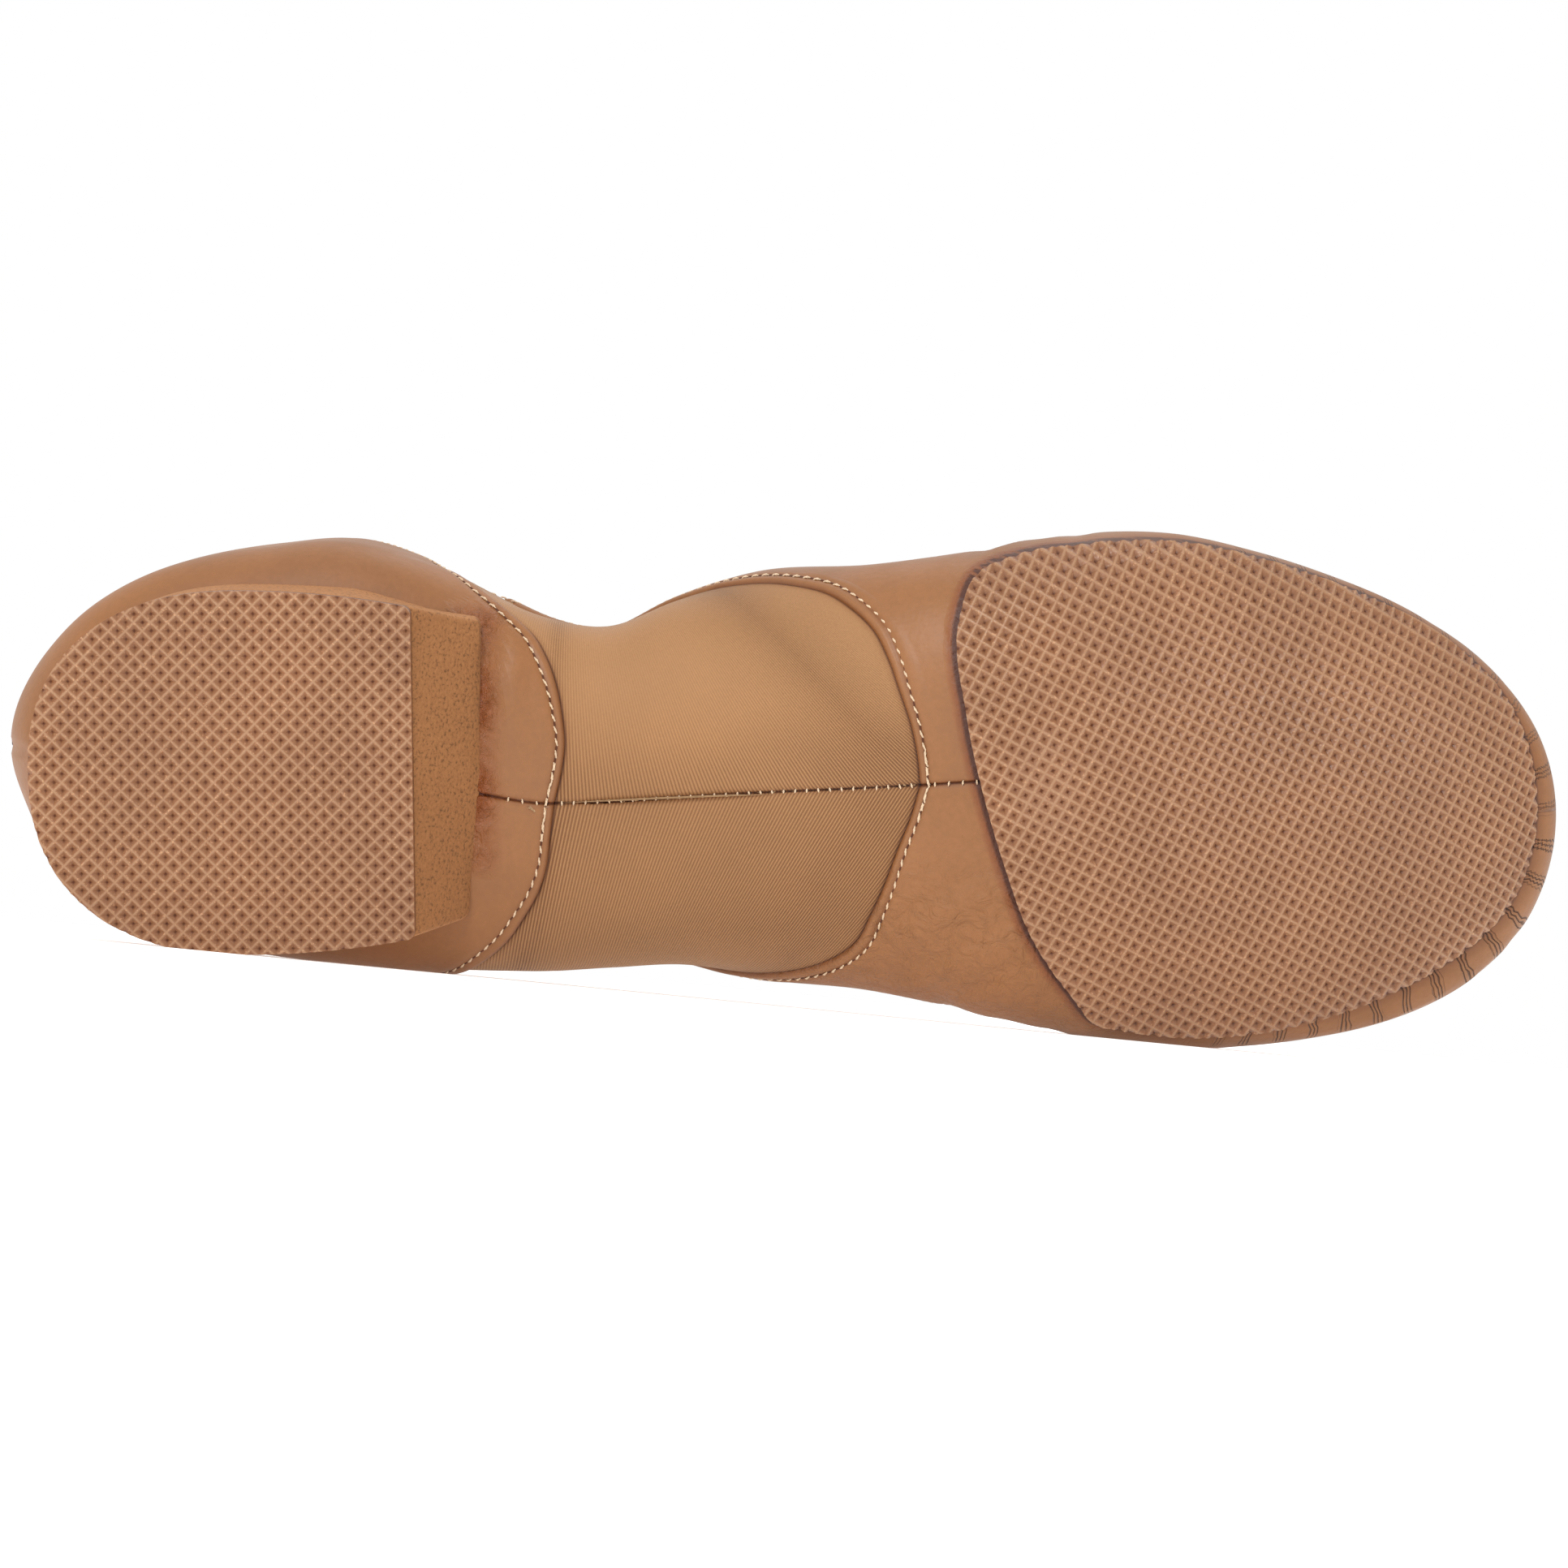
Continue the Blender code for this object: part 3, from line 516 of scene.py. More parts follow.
# Lines across the upper


def run_of(points):
    steps = np.linalg.norm(np.diff(points, axis=0), axis=1)
    return np.concatenate([[0], np.cumsum(steps)])


def smooth_route(points, count):
    """Evenly spaced points on a smooth curve through the given ones."""
    points = np.array(points)
    knots = run_of(points)
    slopes = np.gradient(points, knots, axis=0)
    at = np.linspace(0, knots[-1], 12 * count)
    low = np.clip(np.searchsorted(knots, at, side="right") - 1, 0, len(knots) - 2)
    width = (knots[low + 1] - knots[low])[:, None]
    t = (at - knots[low])[:, None] / width
    fine = curve_between(t, width, points[low], slopes[low], points[low + 1], slopes[low + 1])
    run = run_of(fine)
    return read_along(np.linspace(0, run[-1], count), run, fine)


def square_to(route):
    """Directions square to a flat route, to its right."""
    ahead = unit(np.gradient(route, axis=0))
    return np.stack([ahead[:, 1], -ahead[:, 0]], axis=1)


def half_girth():
    return HEEL_WIDTH / 2 + BACK_HEIGHT


def column_shares():
    """Shares of the way from keel to rim at which the panels have points, closer at both ends."""
    girth = 1000 * half_girth() * 1.25
    near, far = np.array(KEEL_COLUMNS) / girth, 1 - np.array(RIM_COLUMNS) / girth
    middle = np.linspace(near[-1], far[0], SIDE_COLUMNS - len(near) - len(far) + 2)[1:-1]
    return np.concatenate([near, middle, far])


def line_across(table, side):
    """A line of the upper on one side, as rows of distance along and share round."""
    column = "medial" if side == MEDIAL else "lateral"
    unrolled = [(getattr(row, column) * LENGTH, row.round * half_girth()) for row in table]
    route = smooth_route(unrolled, LINE_POINTS)
    route = read_along(column_shares() * (LINE_POINTS - 1), np.arange(LINE_POINTS), route)
    return route / (LENGTH, half_girth())


def moved_line(line, distance):
    """The line moved square to itself, forwards where the distance is positive."""
    unrolled = line * (LENGTH, half_girth())
    distance = np.broadcast_to(distance, len(line))
    moved = (unrolled + distance[:, None] * square_to(unrolled)) / (LENGTH, half_girth())
    moved[:, 1] = np.clip(moved[:, 1], 0, 1)
    moved[0] = line[0] + (distance[0] / LENGTH, 0)
    moved[-1, 1] = 1
    return moved


def throat_line():
    """The line through the vamp's rows that ends at the throat."""
    return (
        Line(0.0, THROAT_LINE_KEEL, THROAT_LINE_KEEL),
        Line(0.5, THROAT_LINE_BELLY, THROAT_LINE_BELLY),
        Line(1.0, THROAT, THROAT),
    )


def between(first, last, steps, pace):
    """The lines between two others, at steps that keep a pace."""
    return [first + (last - first) * pace(step / steps) for step in range(1, steps)]


Row = namedtuple("Row", "line gap mark")
# How far the ribs lean towards the heel per share round, beside the heel seam and beside the vamp seam
RIB_LEAN = {LATERAL: (0.00, 0.20), MEDIAL: (0.05, 0.154)}


def rib_mark(line, side):
    """Which rib each point of a line lies on: the ribs run beside the seams and are cut by their wings."""
    heel_lean, vamp_lean = RIB_LEAN[side]
    first = HEEL_SEAM[0].lateral - heel_lean * line[:, 1]
    last = VAMP_SEAM[0].lateral - vamp_lean * line[:, 1]
    return bpy.context.scene.jazz_shoe_sizes.ribs * (line[:, 0] - first) / (last - first)


def quarter_rows(side):
    """Rows of the heel leather, each with its distance from the seam in millimetres."""
    back, seam = line_across(BACK_SEAM, side), line_across(HEEL_SEAM, side)
    near = [Row(moved_line(seam, -gap / 1000), gap, 0) for gap in EDGE_ROWS[::-1]]
    body = between(back, near[0].line, 104, lambda t: t**1.6)
    return [Row(back, FAR, 0)] + [Row(line, FAR, 0) for line in body] + near


def stretch_rows(side):
    """Rows of the stretch panel, from just under one leather to just under the other, with rib counts."""
    heel, vamp = line_across(HEEL_SEAM, side), line_across(VAMP_SEAM, side)
    first = [(moved_line(heel, gap / 1000), gap) for gap in CLOTH_ROWS]
    last = [(moved_line(vamp, -gap / 1000), gap) for gap in CLOTH_ROWS[::-1]]
    body = [(line, FAR) for line in between(first[-1][0], last[0][0], 72, lambda t: t)]
    return [Row(line, gap, rib_mark(line, side)) for line, gap in first + body + last]


def vamp_rows(side):
    """Rows of the vamp, from its seam over the instep and the ball to the toe."""
    seam, ball = line_across(VAMP_SEAM, side), line_across(BALL_LINE, side)
    throat = line_across(throat_line(), side)
    tip = ball.copy()
    tip[:, 0] = 1
    near = [Row(moved_line(seam, gap / 1000), gap, 0) for gap in EDGE_ROWS]
    body = between(near[-1].line, throat, 44, lambda t: 1 - (1 - t) ** 1.3) + [throat]
    body += between(throat, ball, 30, lambda t: t) + [ball]
    body += between(ball, tip, 56, lambda t: 1 - (1 - t) ** 2) + [tip]
    return near + [Row(line, FAR, 0) for line in body]


# Meshes


def start_mode(mode):
    bpy.ops.object.mode_set(mode=mode)


def alone(made):
    """Leaves one object selected and active."""
    bpy.ops.object.select_all(action="DESELECT")
    made.select_set(True)
    bpy.context.view_layer.objects.active = made


def coords(mesh):
    found = np.empty(3 * len(mesh.vertices), np.float32)
    mesh.vertices.foreach_get("co", found)
    return found.reshape(-1, 3).astype(np.float64)


def set_coords(mesh, points):
    mesh.vertices.foreach_set("co", np.asarray(points, np.float32).ravel())
    mesh.update()


def normals(mesh):
    found = np.empty(3 * len(mesh.vertices), np.float32)
    mesh.vertex_normals.foreach_get("vector", found)
    return found.reshape(-1, 3).astype(np.float64)


def get_values(mesh, name):
    found = np.empty(len(mesh.vertices), np.float32)
    mesh.attributes[name].data.foreach_get("value", found)
    return found.astype(np.float64)


def set_values(mesh, name, values):
    layer = mesh.attributes.get(name) or mesh.attributes.new(name, "FLOAT", "POINT")
    layer.data.foreach_set("value", np.asarray(values, np.float32))


def apply_all(made):
    alone(made)
    for modifier in list(made.modifiers):
        bpy.ops.object.modifier_apply(modifier=modifier.name)


def turn_outwards(made, merge=1e-6):
    """Merges doubles and turns every face of a piece outwards."""
    alone(made)
    start_mode("EDIT")
    bpy.ops.mesh.select_all(action="SELECT")
    bpy.ops.mesh.remove_doubles(threshold=merge)
    bpy.ops.mesh.normals_make_consistent(inside=False)
    start_mode("OBJECT")


def panel_sheet(name, rows_of):
    """A panel's inside as a sheet, from a grid laid over the last, with its rows' measures as attributes."""
    shares = column_shares()
    count = len(shares)
    halves = {}
    for side in (LATERAL, MEDIAL):
        rows = rows_of(side)
        ends = np.array([row.line[-1, 0] for row in rows])
        rims = rim_shares(ends, side)
        along = np.concatenate([row.line[:, 0] for row in rows])
        share = np.concatenate([row.line[:, 1] * rim for row, rim in zip(rows, rims)])
        grid = inner_points(along, side, share).reshape(len(rows), count, 3)
        steps = np.linalg.norm(np.diff(grid, axis=1), axis=2)
        run = np.concatenate([np.zeros((len(rows), 1)), np.cumsum(steps, axis=1)], axis=1) * 1000
        closed = rims >= 1
        steps = np.linalg.norm(np.diff(grid, axis=0), axis=2)
        back = np.concatenate([[np.zeros(count)], np.cumsum(steps, axis=0)]) * 1000
        found = {
            "gap": np.repeat([row.gap for row in rows], count).reshape(-1, count),
            "mark": np.stack([np.broadcast_to(row.mark, count) for row in rows]),
            "rim_gap": np.where(closed[:, None], FAR, run[:, -1:] - run),
            "keel_gap": run * side,
            "back_gap": back,
            "round": np.broadcast_to(side * shares, run.shape),
        }
        halves[side] = (grid, found)
    lateral, medial = halves[LATERAL], halves[MEDIAL]
    values = {
        key: np.concatenate([grid[:, :0:-1], medial[1][key]], axis=1) for key, grid in lateral[1].items()
    }
    points = np.concatenate([lateral[0][:, :0:-1], medial[0]], axis=1)
    last_row, last_column = points.shape[0] - 1, points.shape[1] - 1
    bpy.ops.object.select_all(action="DESELECT")
    bpy.ops.mesh.primitive_grid_add(x_subdivisions=last_column, y_subdivisions=last_row, size=2)
    made = bpy.context.active_object
    made.name = made.data.name = name
    flat = coords(made.data)
    low, high = flat.min(axis=0), flat.max(axis=0)
    place = np.rint((flat - low)[:, :2] / (high - low)[:2] * (last_column, last_row)).astype(int)
    set_coords(made.data, points[place[:, 1], place[:, 0]])
    for key, grid in values.items():
        set_values(made.data, key, grid[place[:, 1], place[:, 0]])
    turn_outwards(made, 2e-6)
    if facing_inwards(coords(made.data), normals(made.data)):
        made.data.flip_normals()
    return made


def facing_inwards(points, facing):
    """Whether directions at points of the upper lead on the whole towards the middle of the foot."""
    along = points[:, 0] / LENGTH
    middle = np.stack([points[:, 0], keel_at(along), underside_at(along) + 0.3 * INSTEP_HEIGHT], axis=1)
    return np.sum((points - middle) * facing) < 0


def crease_relief(points, facing):
    """How far the listed troughs and ridges move each point, in metres."""
    relief = np.zeros(len(points))
    mm = points * 1000
    views = {
        "under": (mm[:, [0, 1]], np.clip(-facing[:, 2] * 2, 0, 1)),
        "lateral": (mm[:, [0, 2]], np.clip(-facing[:, 1] * 2, 0, 1)),
        "medial": (mm[:, [0, 2]], np.clip(facing[:, 1] * 2, 0, 1)),
        "top": (mm[:, [0, 1]], np.clip(facing[:, 2] * 2, 0, 1)),
    }
    for crease in CREASES:
        flat, mask = views[crease.where]
        route = smooth_route(crease.points, CREASE_POINTS)
        gaps = np.linalg.norm(flat[:, None, :] - route[None], axis=2)
        nearest = gaps.argmin(axis=1)
        taper = np.sin(np.pi * (nearest + 0.5) / CREASE_POINTS) ** 0.6
        relief += crease.depth / 1000 * bell(gaps.min(axis=1), crease.width) * taper * mask
    return relief


def swell(points, scale, seed):
    """A gentle uneven swell between -1 and 1, so that no panel is perfectly fair."""
    x, y, z = (points * 1000 / scale).T
    waves = (
        np.sin(1.0 * x + 1.7 * y + seed)
        + np.sin(-1.3 * x + 0.9 * z + 2.1 * seed)
        + np.sin(0.7 * y - 1.4 * z + 0.6 * x + 3.3 * seed)
    )
    return waves / 3


def edge_relief(gap, beyond):
    """A leather's height above the last near its cut edge: rounded, and drawn in under the stitches."""
    near = np.clip(gap / 1.1, 0, 1)
    rounded = 0.00095 + 0.00085 * np.sqrt(1 - (1 - near) ** 2)
    return rounded - 0.00022 * bell(beyond, 0.36) + 0.00010 * bell(beyond - 1.6, 0.9)


def mark_edge(mesh):
    """Keeps how far each point lies beyond the stitch row, and clears the edge's painted shade on the high
    wings.
    """
    gap, share = get_values(mesh, "gap"), np.abs(get_values(mesh, "round"))
    beyond = gap - 1000 * stitch_margin(share)
    set_values(mesh, "beyond", np.clip(beyond, -5, 5))
    # A larger gap on the high wings takes the edge's painted shade off there
    set_values(mesh, "gap", gap + 3 * fade(share, 0.6, 0.08))
    return gap, beyond


def rim_relief(rim_gap):
    """How far the turned top line is rolled in at its very edge, and drawn in under its stitches."""
    near = np.clip(rim_gap / 0.9, 0, 1)
    return -0.0006 * (1 - np.sqrt(1 - (1 - near) ** 2)) - 0.00016 * bell(rim_gap - 2.0, 0.4)


def seam_relief(keel_gap, depth, strength=1.0):
    """The closed seam under the foot: a narrow trough with both sides puffed beside it."""
    across = np.abs(keel_gap)
    return (0.00012 * bell(across - 1.3, 0.7) - depth * bell(across, 0.26)) * strength


def raise_panel(made, heights, inner=0.0):
    """Moves a sheet out to its heights above the last and gives it its wall inwards, lined inside."""
    mesh = made.data
    facing = normals(mesh)
    points = coords(mesh)
    set_coords(mesh, points + facing * heights[:, None])
    walls = heights - inner
    most = float(walls.max())
    group = made.vertex_groups.new(name="wall")
    for index, weight in enumerate(walls / most):
        group.add((index,), float(weight), "REPLACE")
    for _ in range(2):
        made.data.materials.append(None)
    wall = made.modifiers.new("wall", "SOLIDIFY")
    wall.thickness = most
    wall.offset = -1
    wall.vertex_group = "wall"
    wall.material_offset = 1
    wall.use_rim = True
    apply_all(made)


def lay_in_frame(made):
    """Turns a mesh from the standing shoe into the model's frame and keeps it off the floor."""
    made.data.transform(SHOE)
    points = coords(made.data)
    points[:, 2] = np.maximum(points[:, 2], 0.0)
    set_coords(made.data, points)


def dress(made, materials, nodes, angle=40):
    """Gives a finished piece its materials, its smooth shading and its body, and hides the CAD nodes that it
    replaces.
    """
    for slot, material in enumerate(materials):
        if slot < len(made.data.materials):
            made.data.materials[slot] = material
        else:
            made.data.materials.append(material)
    lay_in_frame(made)
    alone(made)
    bpy.ops.object.shade_smooth_by_angle(angle=math.radians(angle))
    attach(made, "root")
    for node_name in nodes:
        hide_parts(node_name)
    return made


def shoe_axes():
    """The standing shoe's frame in the model, from the heel tread's mount."""
    mount = next(m for m in frame["record"]["mounts"] if m["name"] == "heel_tread")
    down = Vector(mount["axis"]).normalized()
    up = -down
    ahead = Vector((-down.z, 0, down.x)).normalized()
    if ahead.x < 0:
        ahead = -ahead
    medial = up.cross(ahead)
    origin = Vector(mount["pos_m"]) - HEEL_MOUNT_DISTANCE * ahead - CAP_OFFSET * medial
    turned = Matrix((ahead, medial, up)).transposed().to_4x4()
    return Matrix.Translation(origin) @ turned


SHOE = shoe_axes()


# Materials


def put(tree, kind, inputs=(), **settings):
    made = tree.nodes.new(kind)
    for key, value in settings.items():
        setattr(made, key, value)
    for key, value in dict(inputs).items():
        made.inputs[key].default_value = value
    return made


def ramp(tree, factor, stops):
    made = tree.nodes.new("ShaderNodeValToRGB")
    elements = made.color_ramp.elements
    while len(elements) < len(stops):
        elements.new(0.5)
    for element, (place, colour) in zip(elements, stops):
        element.position = place
        element.color = (*colour, 1) if len(colour) == 3 else colour
    tree.links.new(factor, made.inputs["Fac"])
    return made.outputs["Color"]


def maths(tree, operation, first, second=0.5, clamp=False):
    made = put(tree, "ShaderNodeMath", operation=operation, use_clamp=clamp)
    for socket, value in zip(made.inputs, (first, second)):
        if isinstance(value, (int, float)):
            socket.default_value = value
        else:
            tree.links.new(value, socket)
    return made.outputs[0]


def mixed(tree, factor, first, second, blend="MIX"):
    made = put(tree, "ShaderNodeMix", data_type="RGBA", blend_type=blend)
    sockets = (made.inputs[0], made.inputs[6], made.inputs[7])
    for socket, value in zip(sockets, (factor, first, second)):
        if isinstance(value, (int, float)):
            socket.default_value = value
        elif isinstance(value, tuple):
            socket.default_value = (*value, 1)
        else:
            tree.links.new(value, socket)
    return made.outputs[2]


def noise(tree, place, scale, detail=2.0, roughness=0.5, **inputs):
    made = put(tree, "ShaderNodeTexNoise", {"Scale": scale, "Detail": detail, "Roughness": roughness, **inputs})
    tree.links.new(place, made.inputs["Vector"])
    return made.outputs["Fac"]


def bump(tree, height, distance, strength=1.0, before=None):
    made = put(tree, "ShaderNodeBump", {"Strength": strength, "Distance": distance})
    tree.links.new(height, made.inputs["Height"])
    if before is not None:
        tree.links.new(before, made.inputs["Normal"])
    return made.outputs["Normal"]


def attribute(tree, name):
    return put(tree, "ShaderNodeAttribute", attribute_name=name).outputs["Fac"]


def new_material(name, roughness, specular=0.5):
    """A material with its shader, tree and object coordinates."""
    material = bpy.data.materials.new(name)
    material.use_nodes = True
    tree = material.node_tree
    shader = tree.nodes["Principled BSDF"]
    shader.inputs["Roughness"].default_value = roughness
    shader.inputs["Specular IOR Level"].default_value = specular
    place = put(tree, "ShaderNodeTexCoord").outputs["Object"]
    return material, tree, shader, place


def shade(colour, factor):
    return tuple(min(c * factor, 1) for c in colour)


def times(tree, first, second, clamp=False):
    return maths(tree, "MULTIPLY", first, second, clamp)


def tinted(tree, tone, tint, factor=1.0):
    return mixed(tree, factor, tone, tint, "MULTIPLY")


def stain_or_shading_mix(tree, factor, tone, shadow):
    """A tone that turns, as far as the factor says, to itself tinted by a colour: the glue's real stains, and
    elsewhere painted shade and painted light.
    """
    return mixed(tree, factor, tone, tinted(tree, tone, shadow))


def wandering(tree, place, scale, detail, reach):
    """Noise about zero."""
    return times(tree, maths(tree, "SUBTRACT", noise(tree, place, scale, detail), 0.5), reach)


def by_distance(tree, distance, reach, stops):
    """A ramp over a distance up to a reach."""
    return ramp(tree, maths(tree, "DIVIDE", distance, reach), stops)


WHITE = (1.0, 1.0, 1.0)
EDGE_SHADOW = [(0.0, (0.66, 0.56, 0.50)), (0.25, (0.98, 0.97, 0.96))]
SEAM_SHADOW = [(0.0, (0.30, 0.19, 0.13)), (0.07, (0.42, 0.29, 0.21)), (0.17, (0.90, 0.86, 0.83)), (0.5, WHITE)]
PATCH_SHADOW = [(0.0, (0.26, 0.17, 0.12)), (0.14, (0.30, 0.20, 0.14)), (0.24, (0.86, 0.78, 0.72)), (0.5, WHITE)]
CLOTH_SHADOW = [(0.0, (0.22, 0.14, 0.10)), (0.05, (0.45, 0.34, 0.27)), (0.14, (0.88, 0.84, 0.80)), (0.4, WHITE)]


def seam_shadow(tree):
    """The dark line of the seam under the foot."""
    across = maths(tree, "ABSOLUTE", attribute(tree, "keel_gap"))
    return by_distance(tree, across, 2.0, SEAM_SHADOW)


def leather_tones(tree, place, colour):
    """Uneven tan of dyed leather: broad clouds, small flecks."""
    clouds = noise(tree, place, 38, 4, 0.55)
    tone = ramp(tree, clouds, [(0.30, shade(colour, 0.86)), (0.55, colour), (0.75, shade(colour, 1.10))])
    flecks = noise(tree, place, 900, 3, 0.6)
    return tinted(tree, tone, ramp(tree, flecks, [(0.35, (0.92,) * 3), (0.62, (1.04,) * 3)]), 0.6)


def leather_grain(tree, place):
    """Fine pebble grain, soft drag marks and a barely uneven skin."""
    pebbles = put(tree, "ShaderNodeTexVoronoi", {"Scale": 1500.0, "Randomness": 1.0}, feature="SMOOTH_F1")
    tree.links.new(place, pebbles.inputs["Vector"])
    skin = bump(tree, noise(tree, place, 160, 4, 0.6), 0.00025, 0.35)
    grain = bump(tree, pebbles.outputs["Distance"], 0.00008, 0.35, skin)
    return bump(tree, noise(tree, place, 3200, 3, 0.7), 0.00005, 0.35, grain)


def make_leather(name, colour, pleated=False, glued=False):
    """Leather with painted shade at its edges, stitch rows and seams, and where asked the toe's pleats or the
    heel's glue.
    """
    material, tree, shader, place = new_material(name, 0.46, 0.42)
    tone = leather_tones(tree, place, linear(colour))
    surface = leather_grain(tree, place)
    if pleated:
        pleat, dark = toe_pleats(tree, place)
        # Painted shade darkens the pleats' folds
        tone = stain_or_shading_mix(tree, dark, tone, (0.34, 0.22, 0.15))
        surface = bump(tree, pleat, 0.0006, 0.9, surface)
        tone, surface = patch_contact(tree, place, tone, surface)
    rough = ramp(tree, noise(tree, place, 60, 3), [(0.3, (0.40,) * 3), (0.7, (0.54,) * 3)])
    if glued:
        tone, surface, stain = glue_stain(tree, place, tone, surface)
        rough = mixed(tree, times(tree, stain, 0.8), rough, (0.20, 0.20, 0.20))
    tone = tinted(tree, tone, by_distance(tree, attribute(tree, "gap"), 3.0, EDGE_SHADOW))
    beyond = maths(tree, "ABSOLUTE", attribute(tree, "beyond"))
    # Painted shade where the leather is drawn in under the stitch row
    drawn = ramp(tree, beyond, [(0.0, (0.78, 0.72, 0.67)), (0.35, (0.92, 0.90, 0.88)), (0.8, WHITE)])
    tone = tinted(tree, tone, drawn)
    tone = stain_or_shading_mix(tree, attribute(tree, "seam"), tone, seam_shadow(tree))
    tree.links.new(tone, shader.inputs["Base Color"])
    tree.links.new(rough, shader.inputs["Roughness"])
    tree.links.new(surface, shader.inputs["Normal"])
    return material


def toe_pleats(tree, place):
    """Fine radial folds in groups round the toe, as a height and as painted shade in the folds."""
    run, gap = attribute(tree, "toe_run"), attribute(tree, "toe_gap")
    at = maths(tree, "ADD", run, wandering(tree, place, 120, 2, 1.6))
    group = maths(tree, "FRACT", maths(tree, "DIVIDE", at, 5.3))
    middle = maths(tree, "ABSOLUTE", maths(tree, "SUBTRACT", group, 0.5))
    inside = maths(tree, "SMOOTH_MIN", times(tree, maths(tree, "SUBTRACT", 0.20, middle), 14), 1.0)
    inside = maths(tree, "MAXIMUM", inside, 0.0)
    fold = maths(tree, "SINE", times(tree, at, 2 * math.pi / 0.62))
    fold = maths(tree, "POWER", maths(tree, "MAXIMUM", fold, 0.0), 2.0)
    near = times(tree, maths(tree, "SUBTRACT", 4.6, gap), 0.7, clamp=True)
    mask = times(tree, times(tree, inside, near), attribute(tree, "toe"))
    folds = times(tree, fold, mask)
    # The second value is the folds' painted shade
    return times(tree, folds, -1.0), times(tree, folds, 0.75, clamp=True)


def patch_contact(tree, place, tone, surface):
    """The painted shadow line round the tread patch, glue at its rear edge, and worn wrinkles beside the arch.
    """
    gap = attribute(tree, "toe_gap")
    tone = tinted(tree, tone, by_distance(tree, gap, 4.0, PATCH_SHADOW))
    rough = maths(tree, "ADD", gap, wandering(tree, place, 700, 3, 0.9))
    rim = times(tree, maths(tree, "SUBTRACT", 2.1, rough), attribute(tree, "rear"), clamp=True)
    tone = stain_or_shading_mix(tree, times(tree, rim, 0.65), tone, (0.86, 0.60, 0.42))
    surface = bump(tree, times(tree, noise(tree, place, 900, 3, 0.6), rim), 0.0004, 0.7, surface)
    wrinkle = times(tree, noise(tree, place, 330, 4, 0.6, Distortion=1.6), attribute(tree, "worn"))
    return tone, bump(tree, wrinkle, 0.0011, 0.8, surface)


def glue_stain(tree, place, tone, surface):
    """Darker, orange, shiny and wrinkled leather where glue reached it under the heel's breast."""
    uneven = maths(tree, "ADD", noise(tree, place, 260, 4, 0.6), 0.55)
    stain = times(tree, attribute(tree, "glue"), uneven, clamp=True)
    tone = stain_or_shading_mix(tree, stain, tone, (0.88, 0.56, 0.30))
    wrinkle = times(tree, noise(tree, place, 520, 4, 0.65, Distortion=1.2), stain)
    return tone, bump(tree, wrinkle, 0.0016, 1.0, surface), stain


def make_neoprene(colour):
    """Stretch cloth: ribs that follow the seams, with painted shade in their troughs, and a fine knit between
    them.
    """
    material, tree, shader, place = new_material("ribbed_neoprene", 0.62, 0.32)
    colour = linear(colour)
    mark, strength = attribute(tree, "mark"), attribute(tree, "rib")
    ribs = times(tree, maths(tree, "SINE", times(tree, mark, 2 * math.pi)), 0.5)
    wave = times(tree, maths(tree, "ADD", ribs, 0.5), strength)
    clouds = noise(tree, place, 45, 3)
    tone = ramp(tree, clouds, [(0.3, shade(colour, 0.93)), (0.7, shade(colour, 1.06))])
    # Painted shade in the ribs' troughs, as far as each rib's strength says
    trough = maths(tree, "POWER", maths(tree, "MAXIMUM", maths(tree, "SUBTRACT", 0.5, ribs), 0.0), 1.7)
    lines = times(tree, times(tree, trough, strength), 1.1, clamp=True)
    tone = stain_or_shading_mix(tree, lines, tone, (0.46, 0.36, 0.28))
    knit = noise(tree, place, 2600, 2, 0.6)
    tone = tinted(tree, tone, ramp(tree, knit, [(0.35, (0.90,) * 3), (0.65, (1.06,) * 3)]), 0.45)
    tone = tinted(tree, tone, seam_shadow(tree))
    tone = tinted(tree, tone, by_distance(tree, attribute(tree, "gap"), 3.0, CLOTH_SHADOW))
    tree.links.new(tone, shader.inputs["Base Color"])
    cloth = bump(tree, knit, 0.00006, 0.5)
    tree.links.new(bump(tree, wave, 0.00014, 1.0, cloth), shader.inputs["Normal"])
    shader.inputs["Sheen Weight"].default_value = 0.08
    shader.inputs["Sheen Roughness"].default_value = 0.5
    return material


def make_rubber(name, colours):
    """Tread rubber: pale ridges, darker pit sides and dark pit bottoms as painted shade in the pits, and tiny
    painted glints.
    """
    material, tree, shader, place = new_material(name, 0.42, 0.5)
    ridge, body, deep = linear(colours.rubber), linear(colours.rubber_body), linear(colours.rubber_deep)
    depth = maths(tree, "ADD", attribute(tree, "depth"), wandering(tree, place, 900, 3, 0.35))
    # Darker with depth: painted shade down the pit sides and at the pit bottoms
    tone = ramp(tree, depth, [(0.0, ridge), (0.24, body), (0.60, shade(body, 0.90)), (0.97, deep)])
    # Painted glints: tiny pale specks on the ridges
    glint = ramp(tree, noise(tree, place, 2400, 2, 0.6), [(0.60, (0.0,) * 3), (0.68, WHITE)])
    glint = times(tree, glint, maths(tree, "SUBTRACT", 0.75, depth), clamp=True)
    tone = mixed(tree, glint, tone, shade(ridge, 1.55))
    clouds = ramp(tree, noise(tree, place, 55, 3), [(0.3, (0.90, 0.88, 0.87)), (0.7, (1.05, 1.04, 1.04))])
    tree.links.new(tinted(tree, tone, clouds), shader.inputs["Base Color"])
    rough = ramp(tree, noise(tree, place, 2200, 2), [(0.42, (0.30,) * 3), (0.6, (0.62,) * 3)])
    tree.links.new(rough, shader.inputs["Roughness"])
    coarse = bump(tree, noise(tree, place, 1300, 3, 0.6), 0.00016, 0.6)
    fine = bump(tree, noise(tree, place, 4200, 2, 0.6), 0.00007, 0.7, coarse)
    tree.links.new(fine, shader.inputs["Normal"])
    return material


